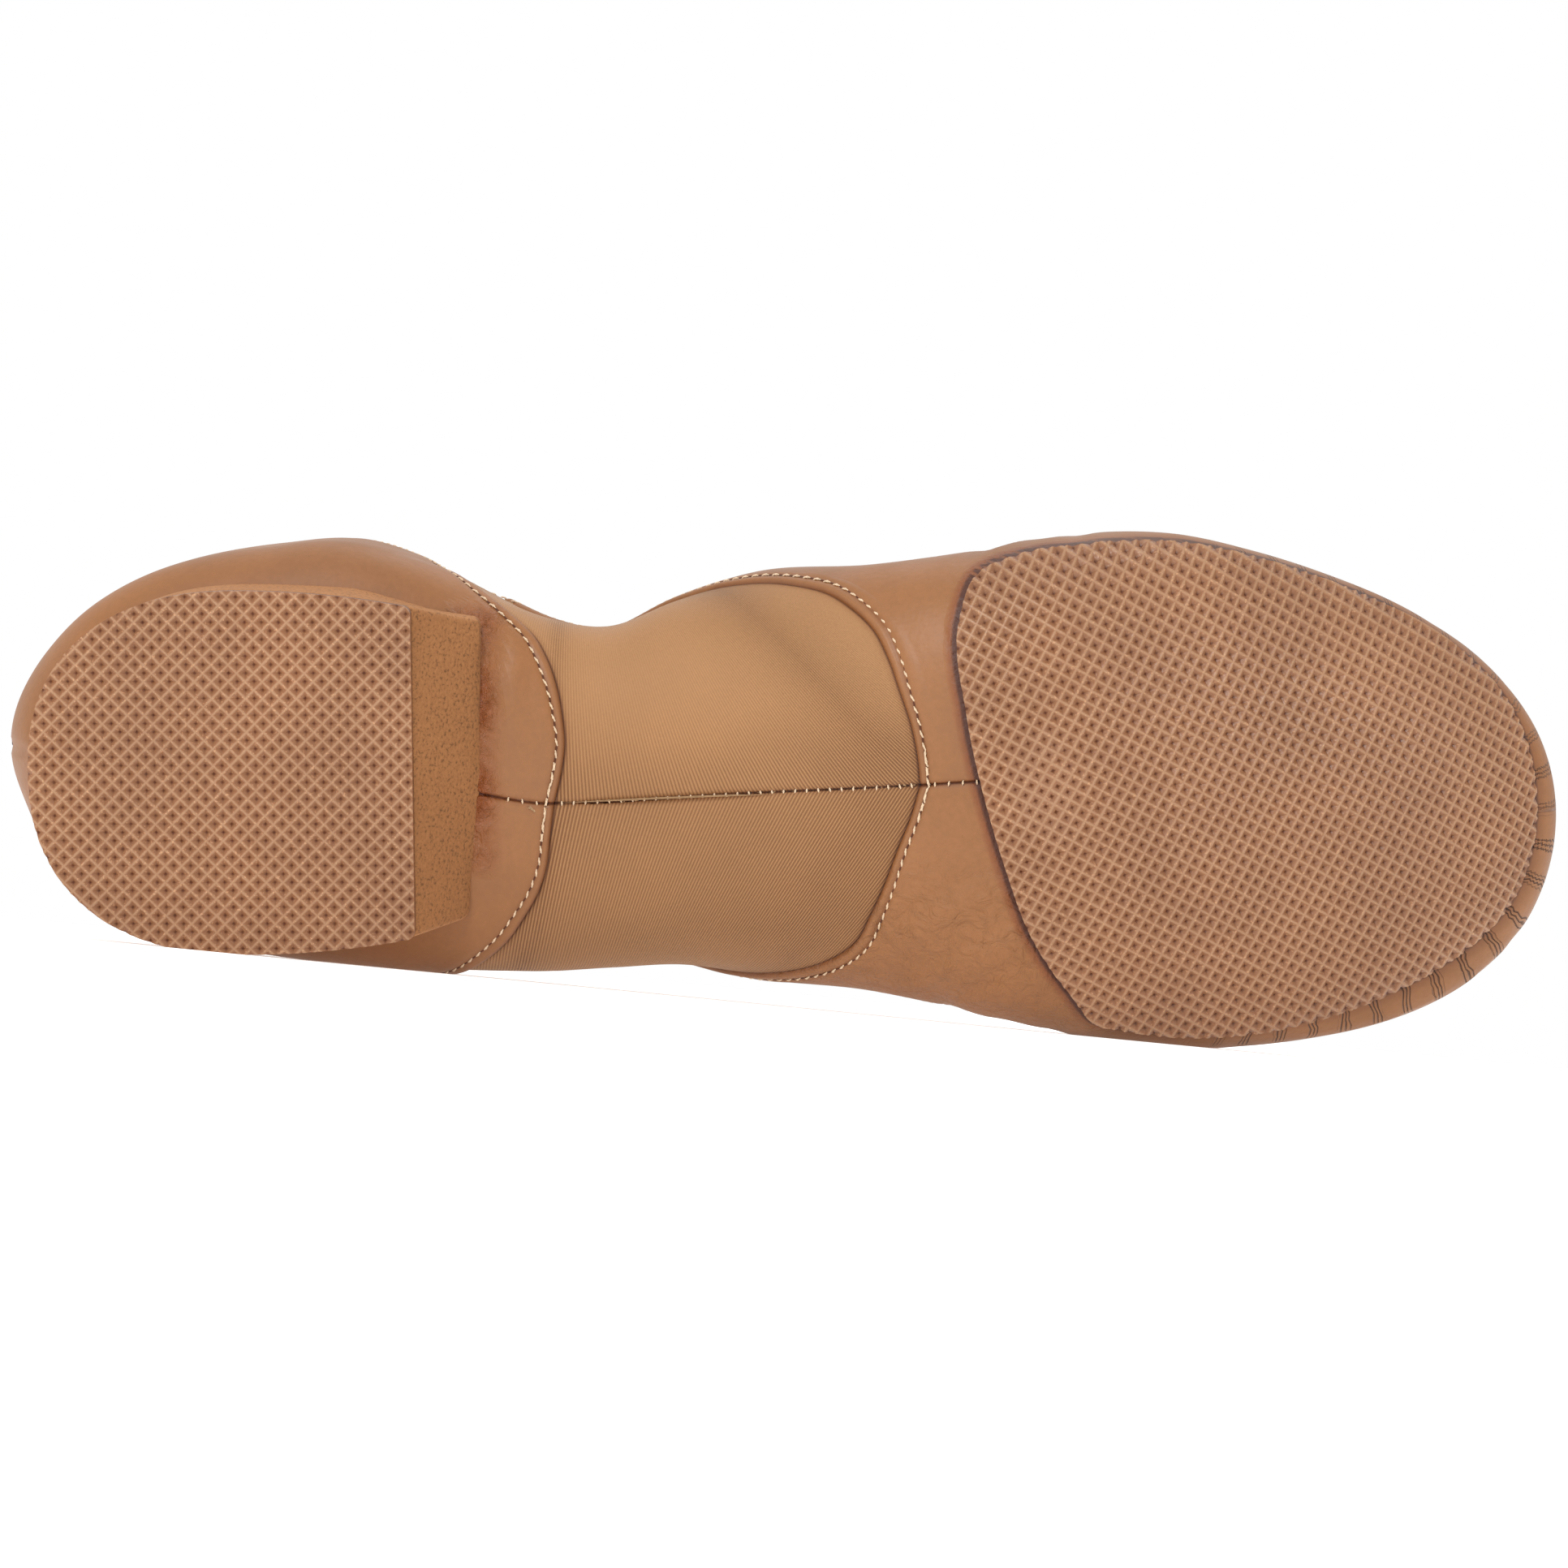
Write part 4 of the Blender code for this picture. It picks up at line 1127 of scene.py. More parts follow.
def make_foam(colour):
    """Sanded foam: tiny open cells and a faint grinding grain, with painted light making its side wall paler.
    """
    material, tree, shader, place = new_material("tan_foam", 0.85, 0.3)
    colour = linear(colour)
    cells = noise(tree, place, 1900, 3, 0.6)
    tone = ramp(tree, cells, [(0.34, shade(colour, 0.55)), (0.43, colour), (0.66, shade(colour, 1.22))])
    clouds = ramp(tree, noise(tree, place, 70, 3), [(0.3, (0.93, 0.92, 0.91)), (0.7, (1.04, 1.04, 1.04))])
    tone = tinted(tree, tone, clouds)
    # Painted light makes the foam's side wall paler
    tone = stain_or_shading_mix(tree, attribute(tree, "side_wall_light"), tone, (1.28, 1.36, 1.50))
    tree.links.new(tone, shader.inputs["Base Color"])
    tree.links.new(bump(tree, cells, 0.00022, 0.8), shader.inputs["Normal"])
    return material


def make_fibres(name, colour, scale, roughness, specular, tones, depth):
    """A plain cloth or thread of one colour, darker between its fibres."""
    material, tree, shader, place = new_material(name, roughness, specular)
    fibres = noise(tree, place, scale, 2, 0.7)
    stops = [(at, shade(linear(colour), factor)) for at, factor in tones]
    tree.links.new(ramp(tree, fibres, stops), shader.inputs["Base Color"])
    tree.links.new(bump(tree, fibres, depth, 0.6), shader.inputs["Normal"])
    return material


def make_cloth(name, colour):
    return make_fibres(name, colour, 1500, 0.9, 0.25, ((0.35, 0.82), (0.65, 1.08)), 0.00012)


def make_thread(name, colour, roughness):
    return make_fibres(name, colour, 3000, roughness, 0.4, ((0.3, 0.72), (0.6, 1.0)), 0.00006)


def material_named(name, maker, *values):
    """The material of that name, made once."""
    return bpy.data.materials.get(name) or maker(*values)


def lining():
    colours = bpy.context.scene.jazz_shoe_colours
    return material_named("lining_cloth", make_cloth, "lining_cloth", colours.lining)


def threads():
    """The cream thread and the dark one, which also gives the needle holes their painted shade."""
    colours = bpy.context.scene.jazz_shoe_colours
    cream = material_named("cream_thread", make_thread, "cream_thread", colours.thread, 0.6)
    dark = material_named("needle_hole", make_thread, "needle_hole", colours.hole, 0.8)
    return cream, dark


# The upper's panels


def add_quarter(context):
    made = panel_sheet("heel_quarter", quarter_rows)
    mesh = made.data
    points, facing = coords(mesh), normals(mesh)
    values = {key: get_values(mesh, key) for key in ("rim_gap", "keel_gap", "back_gap")}
    x, y, down = points[:, 0], points[:, 1], -facing[:, 2]
    seam = fade(x, 0.055, 0.01) * (down > 0)
    heights = edge_relief(*mark_edge(mesh)) + rim_relief(values["rim_gap"])
    heights += seam_relief(values["keel_gap"], LEATHER_TROUGH, seam) - 0.00035 * bell(values["back_gap"], 0.35)
    heights += crease_relief(points, facing) + LEATHER_SWELL * swell(points, 9, 1.0)
    set_values(mesh, "seam", seam)
    breast = CAP_INSET + CAP_LENGTH + BREAST_SLANT
    glue = fade(x, breast + 0.0042, -0.003) * np.clip(down * 1.5, 0, 1) * (x > breast - 0.004)
    glue *= fade(y, -0.026, 0.003) * fade(y, 0.017, -0.004)
    set_values(mesh, "glue", glue * (0.75 + 0.25 * np.sin(y * 420)))
    raise_panel(made, np.maximum(heights, LEAST_WALL))
    colours = context.scene.jazz_shoe_colours
    leather = make_leather("heel_leather", colours.leather, glued=True)
    dress(made, [leather, lining()], ["upper"])


def add_stretch_panel(context):
    made = panel_sheet("stretch_panel", stretch_rows)
    mesh = made.data
    points = coords(mesh)
    values = {key: get_values(mesh, key) for key in ("gap", "rim_gap", "keel_gap", "mark")}
    total = context.scene.jazz_shoe_sizes.ribs
    share = values["mark"] / total
    heights = NEOPRENE_WALL + rim_relief(values["rim_gap"]) * 0.6
    heights += seam_relief(values["keel_gap"], CLOTH_TROUGH)
    heights += 0.00022 * np.sin(np.pi * np.clip(share, 0, 1)) + 0.00010 * swell(points, 14, 2.0)
    heights = np.where(values["gap"] < 0, 0.0009, heights)
    near_heel = np.exp(-np.abs(share) * total / 5)
    near_vamp = np.exp(-np.abs(1 - share) * total / 20)
    keel_gap = values["keel_gap"]
    middle = bell(np.clip(-keel_gap, 0, None), 11) * np.clip((46 - keel_gap) / 20, 0.2, 1)
    set_values(mesh, "rib", np.clip(0.14 + 0.5 * near_heel + 0.5 * near_vamp + 0.55 * middle, 0, 1))
    raise_panel(made, np.maximum(heights, LEAST_WALL), inner=0.00006)
    neoprene = make_neoprene(context.scene.jazz_shoe_colours.neoprene)
    dress(made, [neoprene, lining()], ["upper"])


def measures_from_patch(points):
    """Each point's distance from the tread patch's edge and its run round it, in mm, and its rise above."""
    form = seat_form(0.0)
    outline = np.array([tuple(seat_at(form, x, y)[0]) for x, y in patch_outline()])
    outline = smooth_route(np.concatenate([outline, outline[:1]]), 600)
    run = run_of(outline) * 1000
    gaps, runs, lifts = np.zeros((3, len(points)))
    for start in range(0, len(points), 2000):
        some = slice(start, start + 2000)
        distance = np.linalg.norm(points[some, None] - outline[None], axis=2)
        nearest = distance.argmin(axis=1)
        gaps[some] = distance.min(axis=1) * 1000
        runs[some] = run[nearest]
        lifts[some] = points[some, 2] - outline[nearest, 2]
    return gaps, runs, lifts


def add_vamp(context):
    made = panel_sheet("vamp", vamp_rows)
    mesh = made.data
    points, facing = coords(mesh), normals(mesh)
    values = {key: get_values(mesh, key) for key in ("rim_gap", "keel_gap")}
    x, y, down = points[:, 0], points[:, 1], -facing[:, 2]
    seam = fade(x, 0.168, -0.006) * (down > 0)
    heights = edge_relief(*mark_edge(mesh)) + rim_relief(values["rim_gap"])
    heights += seam_relief(values["keel_gap"], LEATHER_TROUGH, seam)
    heights += crease_relief(points, facing) + LEATHER_SWELL * swell(points, 10, 3.0)
    set_values(mesh, "seam", seam)
    gaps, runs, lifts = measures_from_patch(points)
    toe_end = fade(x, 0.196, 0.040)
    outside = np.clip(lifts / 0.003, 0, 1) * fade(down, -0.75, 0.6)
    side = np.clip(0.9 + y / 0.032, 0.25, 1.6)
    heights += TOE_FULLNESS * side * eased(toe_end) * outside
    toe = fade(x, 0.190, 0.012) * np.clip(0.55 + y / 0.03, 0.45, 1)
    set_values(mesh, "toe", toe * (down > -0.5))
    set_values(mesh, "toe_gap", gaps)
    set_values(mesh, "toe_run", runs)
    set_values(mesh, "rear", fade(x, 0.176, -0.008) * (down > 0))
    medial = fade(y, 0.006, 0.014) * fade(x, 0.185, -0.02)
    set_values(mesh, "worn", medial * np.clip(0.3 + down, 0, 1))
    raise_panel(made, np.maximum(heights, LEAST_WALL))
    leather = make_leather("vamp_leather", context.scene.jazz_shoe_colours.leather, pleated=True)
    dress(made, [leather, lining()], ["upper"])


# The sole pieces


def cap_outline(slant=0.0, count=OUTLINE_POINTS, inset=0.0):
    """The heel cap's outline: a full oval at the back, a straight breast with small corners in front."""
    middle = CAP_INSET + CAP_WIDEST * CAP_LENGTH
    front = CAP_INSET + CAP_LENGTH + slant - inset
    half = CAP_WIDTH / 2 - inset
    start = CAP_INSET + inset
    turns = np.linspace(0, np.pi / 2, count // 4)
    back = [
        (
            middle - (middle - start) * math.cos(turn) ** (2 / CAP_FULLNESS),
            half * math.sin(turn) ** (2 / CAP_FULLNESS),
        )
        for turn in turns
    ]
    narrowing = CAP_NARROWING * (1 + slant / CAP_LENGTH) ** 2
    sides = [
        (middle + share * (front - BREAST_CORNER - middle), half * (1 - narrowing * share**2))
        for share in np.linspace(0, 1, 16)[1:]
    ]
    corner_y = half * (1 - narrowing)
    corner = [
        (
            front - BREAST_CORNER * (1 - math.sin(turn)),
            corner_y - BREAST_CORNER * (1 - math.cos(turn)),
        )
        for turn in np.linspace(0, np.pi / 2, 8)[1:]
    ]
    breast = [(front, (corner_y - BREAST_CORNER) * share) for share in np.linspace(1, 0, 16)[1:]]
    medial = back + sides + corner + breast
    lateral = [(x, -y) for x, y in reversed(medial[1:-1])]
    return [(x, y + CAP_OFFSET) for x, y in medial + lateral]


def patch_outline():
    """The forefoot patch's outline: the last's own, drawn in by its margins, and the rear edge."""
    start = PATCH_REAR[0].along + 0.05
    alongs = 1 - (1 - start) * np.linspace(1, 0, 22) ** 2
    points = [(along * LENGTH, float(edge_at(along, LATERAL))) for along in alongs]
    points += [(along * LENGTH, float(edge_at(along, MEDIAL))) for along in alongs[-2::-1]]
    route = smooth_route(points, 144)
    outward = square_to(route)
    side = np.where(outward[:, 1] > 0, PATCH_MEDIAL_MARGIN, PATCH_LATERAL_MARGIN)
    margin = PATCH_TOE_MARGIN * outward[:, 0] ** 2 + side * outward[:, 1] ** 2
    front = [tuple(point) for point in route - outward * margin[:, None]]
    rear = [(edge.along * LENGTH, edge.across * BALL_WIDTH) for edge in PATCH_REAR]
    closed = smooth_route(front + rear[::-1] + front[:1], OUTLINE_POINTS + 1)
    return [tuple(point) for point in closed[:-1]]


def seat_form(growth):
    """The last's outside at a growth, as a tree for ray casts with its points and their normals."""
    points, faces = [], []
    for side in (LATERAL, MEDIAL):
        alongs = 0.5 - 0.5 * np.cos(np.pi * np.linspace(0.0, 1, SEAT_ROWS))
        shares = np.linspace(0, 1, SEAT_COLUMNS)
        grid_along = np.repeat(alongs, SEAT_COLUMNS)
        rims = np.where(alongs > THROAT, 1.0, 0.9)
        share = (rims[:, None] * shares[None]).ravel()
        start = len(points) and len(points[0])
        points.append(inner_points(grid_along, side, share))
        for row in range(SEAT_ROWS - 1):
            for column in range(SEAT_COLUMNS - 1):
                a = start + row * SEAT_COLUMNS + column
                corners = (a, a + SEAT_COLUMNS, a + SEAT_COLUMNS + 1, a + 1)
                faces.append(corners if side == LATERAL else corners[::-1])
    points = np.concatenate(points)
    mesh = bpy.data.meshes.new("seat_form")
    mesh.from_pydata(points.tolist(), [], faces)
    facing = normals(mesh)
    if facing_inwards(coords(mesh), facing):
        facing = -facing
    half = len(points) // 2
    joined = unit(facing[:half:SEAT_COLUMNS] + facing[half::SEAT_COLUMNS])
    facing[:half:SEAT_COLUMNS] = joined
    facing[half::SEAT_COLUMNS] = joined
    bpy.data.meshes.remove(mesh)
    grown = points + facing * growth
    tree = BVHTree.FromPolygons(grown.tolist(), faces)
    return tree, grown, facing, faces


def seat_at(form, x, y, upwards=True):
    """Where a plumb line meets the seat form, with the smooth normal there."""
    tree, grown, facing, faces = form
    from_z, way = (-0.1, 1) if upwards else (0.025, -1)
    place, _, index, _ = tree.ray_cast(Vector((x, y, from_z)), Vector((0, 0, way)))
    if place is None:
        place, _, index, _ = tree.find_nearest(Vector((x, y, 0.01)))
    corners = faces[index]
    weights = poly_3d_calc([Vector(grown[c]) for c in corners], place)
    normal = sum((Vector(facing[c]) * w for c, w in zip(corners, weights)), Vector())
    return place, normal.normalized()


def tread_slab(name, outline, pitch, turn, thickness, sizes):
    """A slab of square pits cut to an outline: one pit modelled, arrayed, turned and trimmed."""
    bpy.ops.object.select_all(action="DESELECT")
    bpy.ops.mesh.primitive_plane_add(size=pitch)
    slab = bpy.context.active_object
    slab.name = slab.data.name = name
    start_mode("EDIT")
    bpy.ops.mesh.select_mode(type="FACE")
    bpy.ops.mesh.select_all(action="SELECT")
    ridge, depth = sizes.pit_ridge / 2, sizes.pit_depth
    half = pitch / 2 - ridge
    for width, share in ((ridge * 0.6, 0), (ridge * 0.8, 0.10), (half * 0.50, 0.42), (half * 0.40, 0.48)):
        bpy.ops.mesh.inset(thickness=width, depth=-depth * share)
    bpy.ops.mesh.select_all(action="DESELECT")
    bpy.ops.mesh.primitive_plane_add(size=pitch, location=(0, 0, -thickness))
    bpy.ops.mesh.flip_normals()
    start_mode("OBJECT")
    span = np.ptp(np.array(outline), axis=0).max() * 1.5
    count = int(span / pitch) + 2
    for label, offset in (("row", (pitch, 0, 0)), ("rows", (0, pitch, 0))):
        array = slab.modifiers.new(label, "ARRAY")
        array.use_relative_offset = False
        array.use_constant_offset = True
        array.constant_offset_displace = offset
        array.count = count
        array.use_merge_vertices = True
        array.merge_threshold = 2e-5
    apply_all(slab)
    middle = np.array(outline).mean(axis=0)
    centre = Matrix.Translation((-(count - 1) * pitch / 2, -(count - 1) * pitch / 2, 0))
    place = Matrix.Translation((middle[0], middle[1], 0)) @ Matrix.Rotation(turn, 4, "Z")
    slab.data.transform(place @ centre)
    start_mode("EDIT")
    bpy.ops.mesh.select_mode(type="EDGE")
    bpy.ops.mesh.select_all(action="DESELECT")
    bpy.ops.mesh.select_non_manifold()
    bpy.ops.mesh.bridge_edge_loops()
    bpy.ops.mesh.select_all(action="SELECT")
    bpy.ops.mesh.normals_make_consistent(inside=False)
    start_mode("OBJECT")
    cutter = outline_prism(name + "_outline", outline, -4 * thickness, 2 * thickness)
    trim = slab.modifiers.new("trim", "BOOLEAN")
    trim.operation = "INTERSECT"
    trim.solver = "MANIFOLD"
    trim.object = cutter
    apply_all(slab)
    bpy.data.objects.remove(cutter, do_unlink=True)
    flat = coords(slab.data)
    set_values(slab.data, "depth", np.clip(-flat[:, 2] / depth, 0, 1))
    return slab


def outline_prism(name, outline, low, high):
    """A closed prism on an outline, from a filled circle whose points are moved onto it."""
    bpy.ops.object.select_all(action="DESELECT")
    bpy.ops.mesh.primitive_circle_add(vertices=len(outline), radius=0.03, fill_type="NGON")
    made = bpy.context.active_object
    made.name = name
    set_coords(made.data, [(x, y, low) for x, y in outline])
    start_mode("EDIT")
    bpy.ops.mesh.select_all(action="SELECT")
    bpy.ops.mesh.extrude_region_move(TRANSFORM_OT_translate={"value": (0, 0, high - low)})
    bpy.ops.mesh.select_all(action="SELECT")
    bpy.ops.mesh.normals_make_consistent(inside=False)
    start_mode("OBJECT")
    return made


def add_forefoot_tread(context):
    sizes = context.scene.jazz_shoe_sizes
    outline = np.array(patch_outline())
    spine_x = np.linspace(0.14, LENGTH - 0.001, 400)
    spine_z = underside_at(spine_x / LENGTH)
    spine_run = spine_x[0] + run_of(np.stack([spine_x, spine_z], axis=1))
    flat_outline = [(float(np.interp(x, spine_x, spine_run)), y) for x, y in outline]
    thickness = PATCH_THICKNESS + BENT_FIT
    slab = tread_slab("forefoot_tread", flat_outline, sizes.pit_pitch, sizes.forefoot_turn, thickness, sizes)
    form = seat_form(LEATHER_WALL)
    flat = coords(slab.data)
    laid = []
    for u, y, z in flat:
        place, normal = seat_at(form, float(np.interp(u, spine_run, spine_x)), y)
        laid.append(place + normal * (thickness + z))
    laid = np.array([tuple(point) for point in laid])
    laid[:, 2] = np.maximum(laid[:, 2], 0)
    set_coords(slab.data, laid)
    turn_outwards(slab)
    rubber = make_rubber("forefoot_rubber", context.scene.jazz_shoe_colours)
    dress(slab, [rubber], ["forefoot_patch"], angle=22)


def add_heel_cap(context):
    sizes = context.scene.jazz_shoe_sizes
    slab = tread_slab("heel_tread", cap_outline(), sizes.heel_pit_pitch, sizes.heel_turn, CAP_THICKNESS, sizes)
    flat = coords(slab.data)
    flat[:, 2] *= -1
    set_coords(slab.data, flat)
    turn_outwards(slab)
    rubber = make_rubber("heel_rubber", context.scene.jazz_shoe_colours)
    dress(slab, [rubber], ["heel_cap"], angle=22)


def ringed_block(name, rings):
    """A closed solid through rings of points that all have as many, filled at both ends."""
    count = len(rings[0])
    bpy.ops.object.select_all(action="DESELECT")
    bpy.ops.mesh.primitive_circle_add(vertices=count, radius=0.03, fill_type="NGON")
    made = bpy.context.active_object
    made.name = made.data.name = name
    set_coords(made.data, rings[0])
    start_mode("EDIT")
    bpy.ops.mesh.select_mode(type="FACE")
    bpy.ops.mesh.select_all(action="SELECT")
    for _ in rings[1:]:
        bpy.ops.mesh.extrude_region_move(TRANSFORM_OT_translate={"value": (0, 0, 0.001)})
    start_mode("OBJECT")
    if len(made.data.vertices) != count * len(rings):
        raise RuntimeError(f"{name}: the extruded rings have {len(made.data.vertices)} points")
    set_coords(made.data, np.concatenate(rings))
    turn_outwards(made)
    return made


def add_heel_foam(context):
    form = seat_form(LEATHER_WALL - 0.0003)
    low = CAP_THICKNESS + 0.00002
    slope = BREAST_SLANT / (HEEL_HEIGHT - CAP_THICKNESS)
    most_slant = HEEL_HEIGHT - CAP_THICKNESS + 0.0010
    highest = HEEL_HEIGHT + 2 * CAP_THICKNESS + FIT

    def skewed(x, y, level):
        front = level * min(max((x - 0.058) / 0.012, 0), 1)
        back = 0.0024 * front * min(max(y / 0.024, 0), 1)
        return x - back, y * (1 - 0.075 * front) if y < 0 else y

    def top_at(x, y):
        place = form[0].ray_cast(Vector((x, y, -0.1)), Vector((0, 0, 1)))[0]
        return min(place.z, highest) if place else highest

    def ring(level, inset):
        heights = np.full(len(cap_outline()), low)
        for _ in range(4):
            points = []
            for index, height in enumerate(heights):
                points.append(cap_outline_point(slope * min(height - low, most_slant), inset, index))
            points = [skewed(x, y, min((height - low) / 0.011, 1)) for (x, y), height in zip(points, heights)]
            tops = np.array([top_at(x, y) for x, y in points])
            heights = low + level * (tops - low) if level > 0.1 else np.full(len(points), low + level * 0.011)
        return np.array([(x, y, z) for (x, y), z in zip(points, heights)])

    rings = [ring(0.0, 0.0004), ring(0.008, 0.00012), ring(0.03, 0.0)]
    rings += [ring(level, 0.0) for level in np.linspace(0.15, 1.0, 9)]
    top = rings[-1]
    middle = np.array([CAP_INSET + CAP_LENGTH * 0.5, CAP_OFFSET])
    for share in (0.93, 0.8, 0.6, 0.4, 0.2, 0.05):
        plan = middle + (top[:, :2] - middle) * share
        rings.append(np.array([(x, y, top_at(x, y)) for x, y in plan]))
    made = ringed_block("heel_foam", rings)
    facing = normals(made.data)
    # The side wall is marked for its painted light
    set_values(made.data, "side_wall_light", np.clip((np.abs(facing[:, 1]) - 0.45) / 0.3, 0, 1))
    foam = make_foam(context.scene.jazz_shoe_colours.foam)
    dress(made, [foam], ["heel_block"], angle=35)


CAP_OUTLINES = {}


def cap_outline_point(slant, inset, index):
    """One point of the cap's outline at a slant, from outlines kept at even steps of it."""
    step = 0.0005
    low = math.floor(slant / step)
    for key in (low, low + 1):
        if (key, inset) not in CAP_OUTLINES:
            CAP_OUTLINES[key, inset] = np.array(cap_outline(key * step, inset=inset))
    share = slant / step - low
    point = CAP_OUTLINES[low, inset][index] * (1 - share) + CAP_OUTLINES[low + 1, inset][index] * share
    return tuple(point)


def insole_outline():
    """The insole's outline, drawn in from the upper's inside about the keel."""
    shares = np.sin(np.linspace(0, np.pi / 2, 90)) ** 2
    alongs = INSOLE_START + (INSOLE_END - INSOLE_START) * shares
    ends = np.sqrt(np.clip(4 * shares * (1 - shares), 0, 1)) ** INSOLE_END_FULLNESS
    outline = []
    for side in (LATERAL, MEDIAL):
        keel = keel_at(alongs)
        across = keel + INSOLE_SHARE * ends * (edge_at(alongs, side) - keel)
        edge = list(zip(alongs * LENGTH, across))
        outline += edge if side == LATERAL else edge[-2:0:-1]
    return outline


def add_insole(context):
    form = seat_form(-BENT_FIT)
    outline = np.array(insole_outline())
    ends = outline[:, 0].min(), outline[:, 0].max()
    inset = 0.25 * (ends[1] - ends[0])
    spine_x = np.clip(outline[:, 0], ends[0] + inset, ends[1] - inset)
    spine = np.stack([spine_x, keel_at(spine_x / LENGTH)], axis=1)

    def ring(share, lift):
        plan = spine + (outline - spine) * share
        rows = []
        for x, y in plan:
            place, normal = seat_at(form, x, y, upwards=False)
            rows.append(tuple(place - normal * lift))
        return np.array(rows)

    bottom = [ring(share, 0.0) for share in (0.02, 0.1, 0.3, 0.5, 0.7, 0.85, 0.95)]
    side = [ring(0.985, 0.0002), ring(1.0, 0.0009), ring(0.998, 0.0019), ring(0.985, 0.0026)]
    top = [ring(share, INSOLE_THICKNESS) for share in (0.96, 0.85, 0.7, 0.5, 0.3, 0.1, 0.02)]
    made = ringed_block("insole_sock", bottom + side + top)
    cloth = make_cloth("insole_cloth", (0.70, 0.55, 0.40))
    dress(made, [cloth], ["insole"], angle=50)


# Stitches


def stitch_margin(share):
    """How far the stitches lie from a leather's edge: close under the foot, further in on the wings."""
    return bpy.context.scene.jazz_shoe_sizes.seam_margin + 0.0009 * eased(fade(np.asarray(share), 0.12, 0.38))


def surface_path(table, way, height):
    """A path over the outer surface beside a seam, lateral rim to medial rim, with its outward directions."""
    halves = []
    for side in (LATERAL, MEDIAL):
        seam = line_across(table, side)
        lines = [moved_line(seam, way * stitch_margin(seam[:, 1]) + step) for step in (-0.0003, 0, 0.0003)]
        rows = []
        for line in lines:
            rim = rim_shares(line[-1:, 0], side)[0]
            rows.append(inner_points(line[:, 0], side, line[:, 1] * rim))
        halves.append(rows)
    before, on, after = (np.concatenate([lateral[:0:-1], medial]) for lateral, medial in zip(*halves))
    outward = unit(np.cross(np.gradient(on, axis=0), after - before))
    if facing_inwards(on, outward):
        outward = -outward
    return on + outward * height, outward


def keel_path(first, last, height):
    """The path of the seam under the foot between two distances along."""
    along = np.linspace(first / LENGTH, last / LENGTH, 200)
    on = inner_points(along, MEDIAL, np.zeros(200))
    outward = unit(np.cross(np.gradient(on, axis=0), (0, 1, 0)))
    outward *= -np.sign(outward[:, 2:3])
    return on + outward * height, outward


def spaced(path, outward, pitch, first=0.0):
    """Evenly spaced places on a path, each with its point, direction and outward normal."""
    run = run_of(path)
    places = np.arange(first, run[-1], pitch)
    at, out = read_along(places, run, path), read_along(places, run, outward)
    ahead = unit(read_along(places + 2e-4, run, path) - read_along(places - 2e-4, run, path))
    return at, ahead, unit(out - ahead * np.sum(out * ahead, axis=1)[:, None])


def thread_mesh(length, thickness, arch):
    """One stitch lying along x: two strands twisted, arched up, with both ends dipping into the cloth."""
    rings, sides = 9, 8
    points, faces = [], []
    for step in range(rings):
        t = step / (rings - 1)
        body = math.sin(math.pi * min(max(t, 0.04), 0.96)) ** 0.35
        for corner in range(sides):
            turn = 2 * math.pi * corner / sides
            lobes = 1 + 0.22 * math.cos(2 * (turn - 2.2 * math.pi * t))
            radius = thickness / 2 * body * lobes
            lift = arch * math.sin(math.pi * t) - 0.6 * arch
            points.append(((t - 0.5) * length, radius * math.cos(turn), radius * math.sin(turn) + lift))
    for step in range(rings - 1):
        for corner in range(sides):
            after = (corner + 1) % sides
            a, b = step * sides, (step + 1) * sides
            faces.append((a + corner, b + corner, b + after, a + after))
    faces.append(tuple(range(sides)))
    faces.append(tuple((rings - 1) * sides + corner for corner in reversed(range(sides))))
    return np.array(points), faces


def hole_mesh(length, width):
    """The dark needle hole between two stitches: a shallow oval cushion of shadow."""
    sides = 10
    points = [(0, 0, width * 0.22)]
    for share, lift in ((0.62, 0.16), (1.0, -0.10)):
        for corner in range(sides):
            turn = 2 * math.pi * corner / sides
            x, y = length / 2 * share * math.cos(turn), width / 2 * share * math.sin(turn)
            points.append((x, y, width * lift))
    points.append((0, 0, -width * 0.4))
    faces = []
    for corner in range(sides):
        after = (corner + 1) % sides
        faces.append((0, 1 + corner, 1 + after))
        faces.append((1 + corner, 1 + sides + corner, 1 + sides + after, 1 + after))
        faces.append((1 + sides + after, 1 + sides + corner, 1 + 2 * sides))
    return np.array(points), faces


def scattered(name, base, places, turns, size=1.0):
    """Copies of one small mesh, set at places with their own turn in the surface, as one object."""
    points, faces = base
    made_points, made_faces = [], []
    for (at, ahead, out), turn in zip(zip(*places), turns):
        side = np.cross(out, ahead)
        direction = math.cos(turn) * ahead + math.sin(turn) * side
        across = np.cross(out, direction)
        start = len(points) * len(made_points)
        made_points.append(at + (points * size) @ np.stack([direction, across, out]))
        made_faces += [tuple(start + corner for corner in face) for face in faces]
    mesh = bpy.data.meshes.new(name)
    mesh.from_pydata(np.concatenate(made_points).tolist(), [], made_faces)
    made = bpy.data.objects.new(name, mesh)
    bpy.context.scene.collection.objects.link(made)
    turn_outwards(made)
    return made


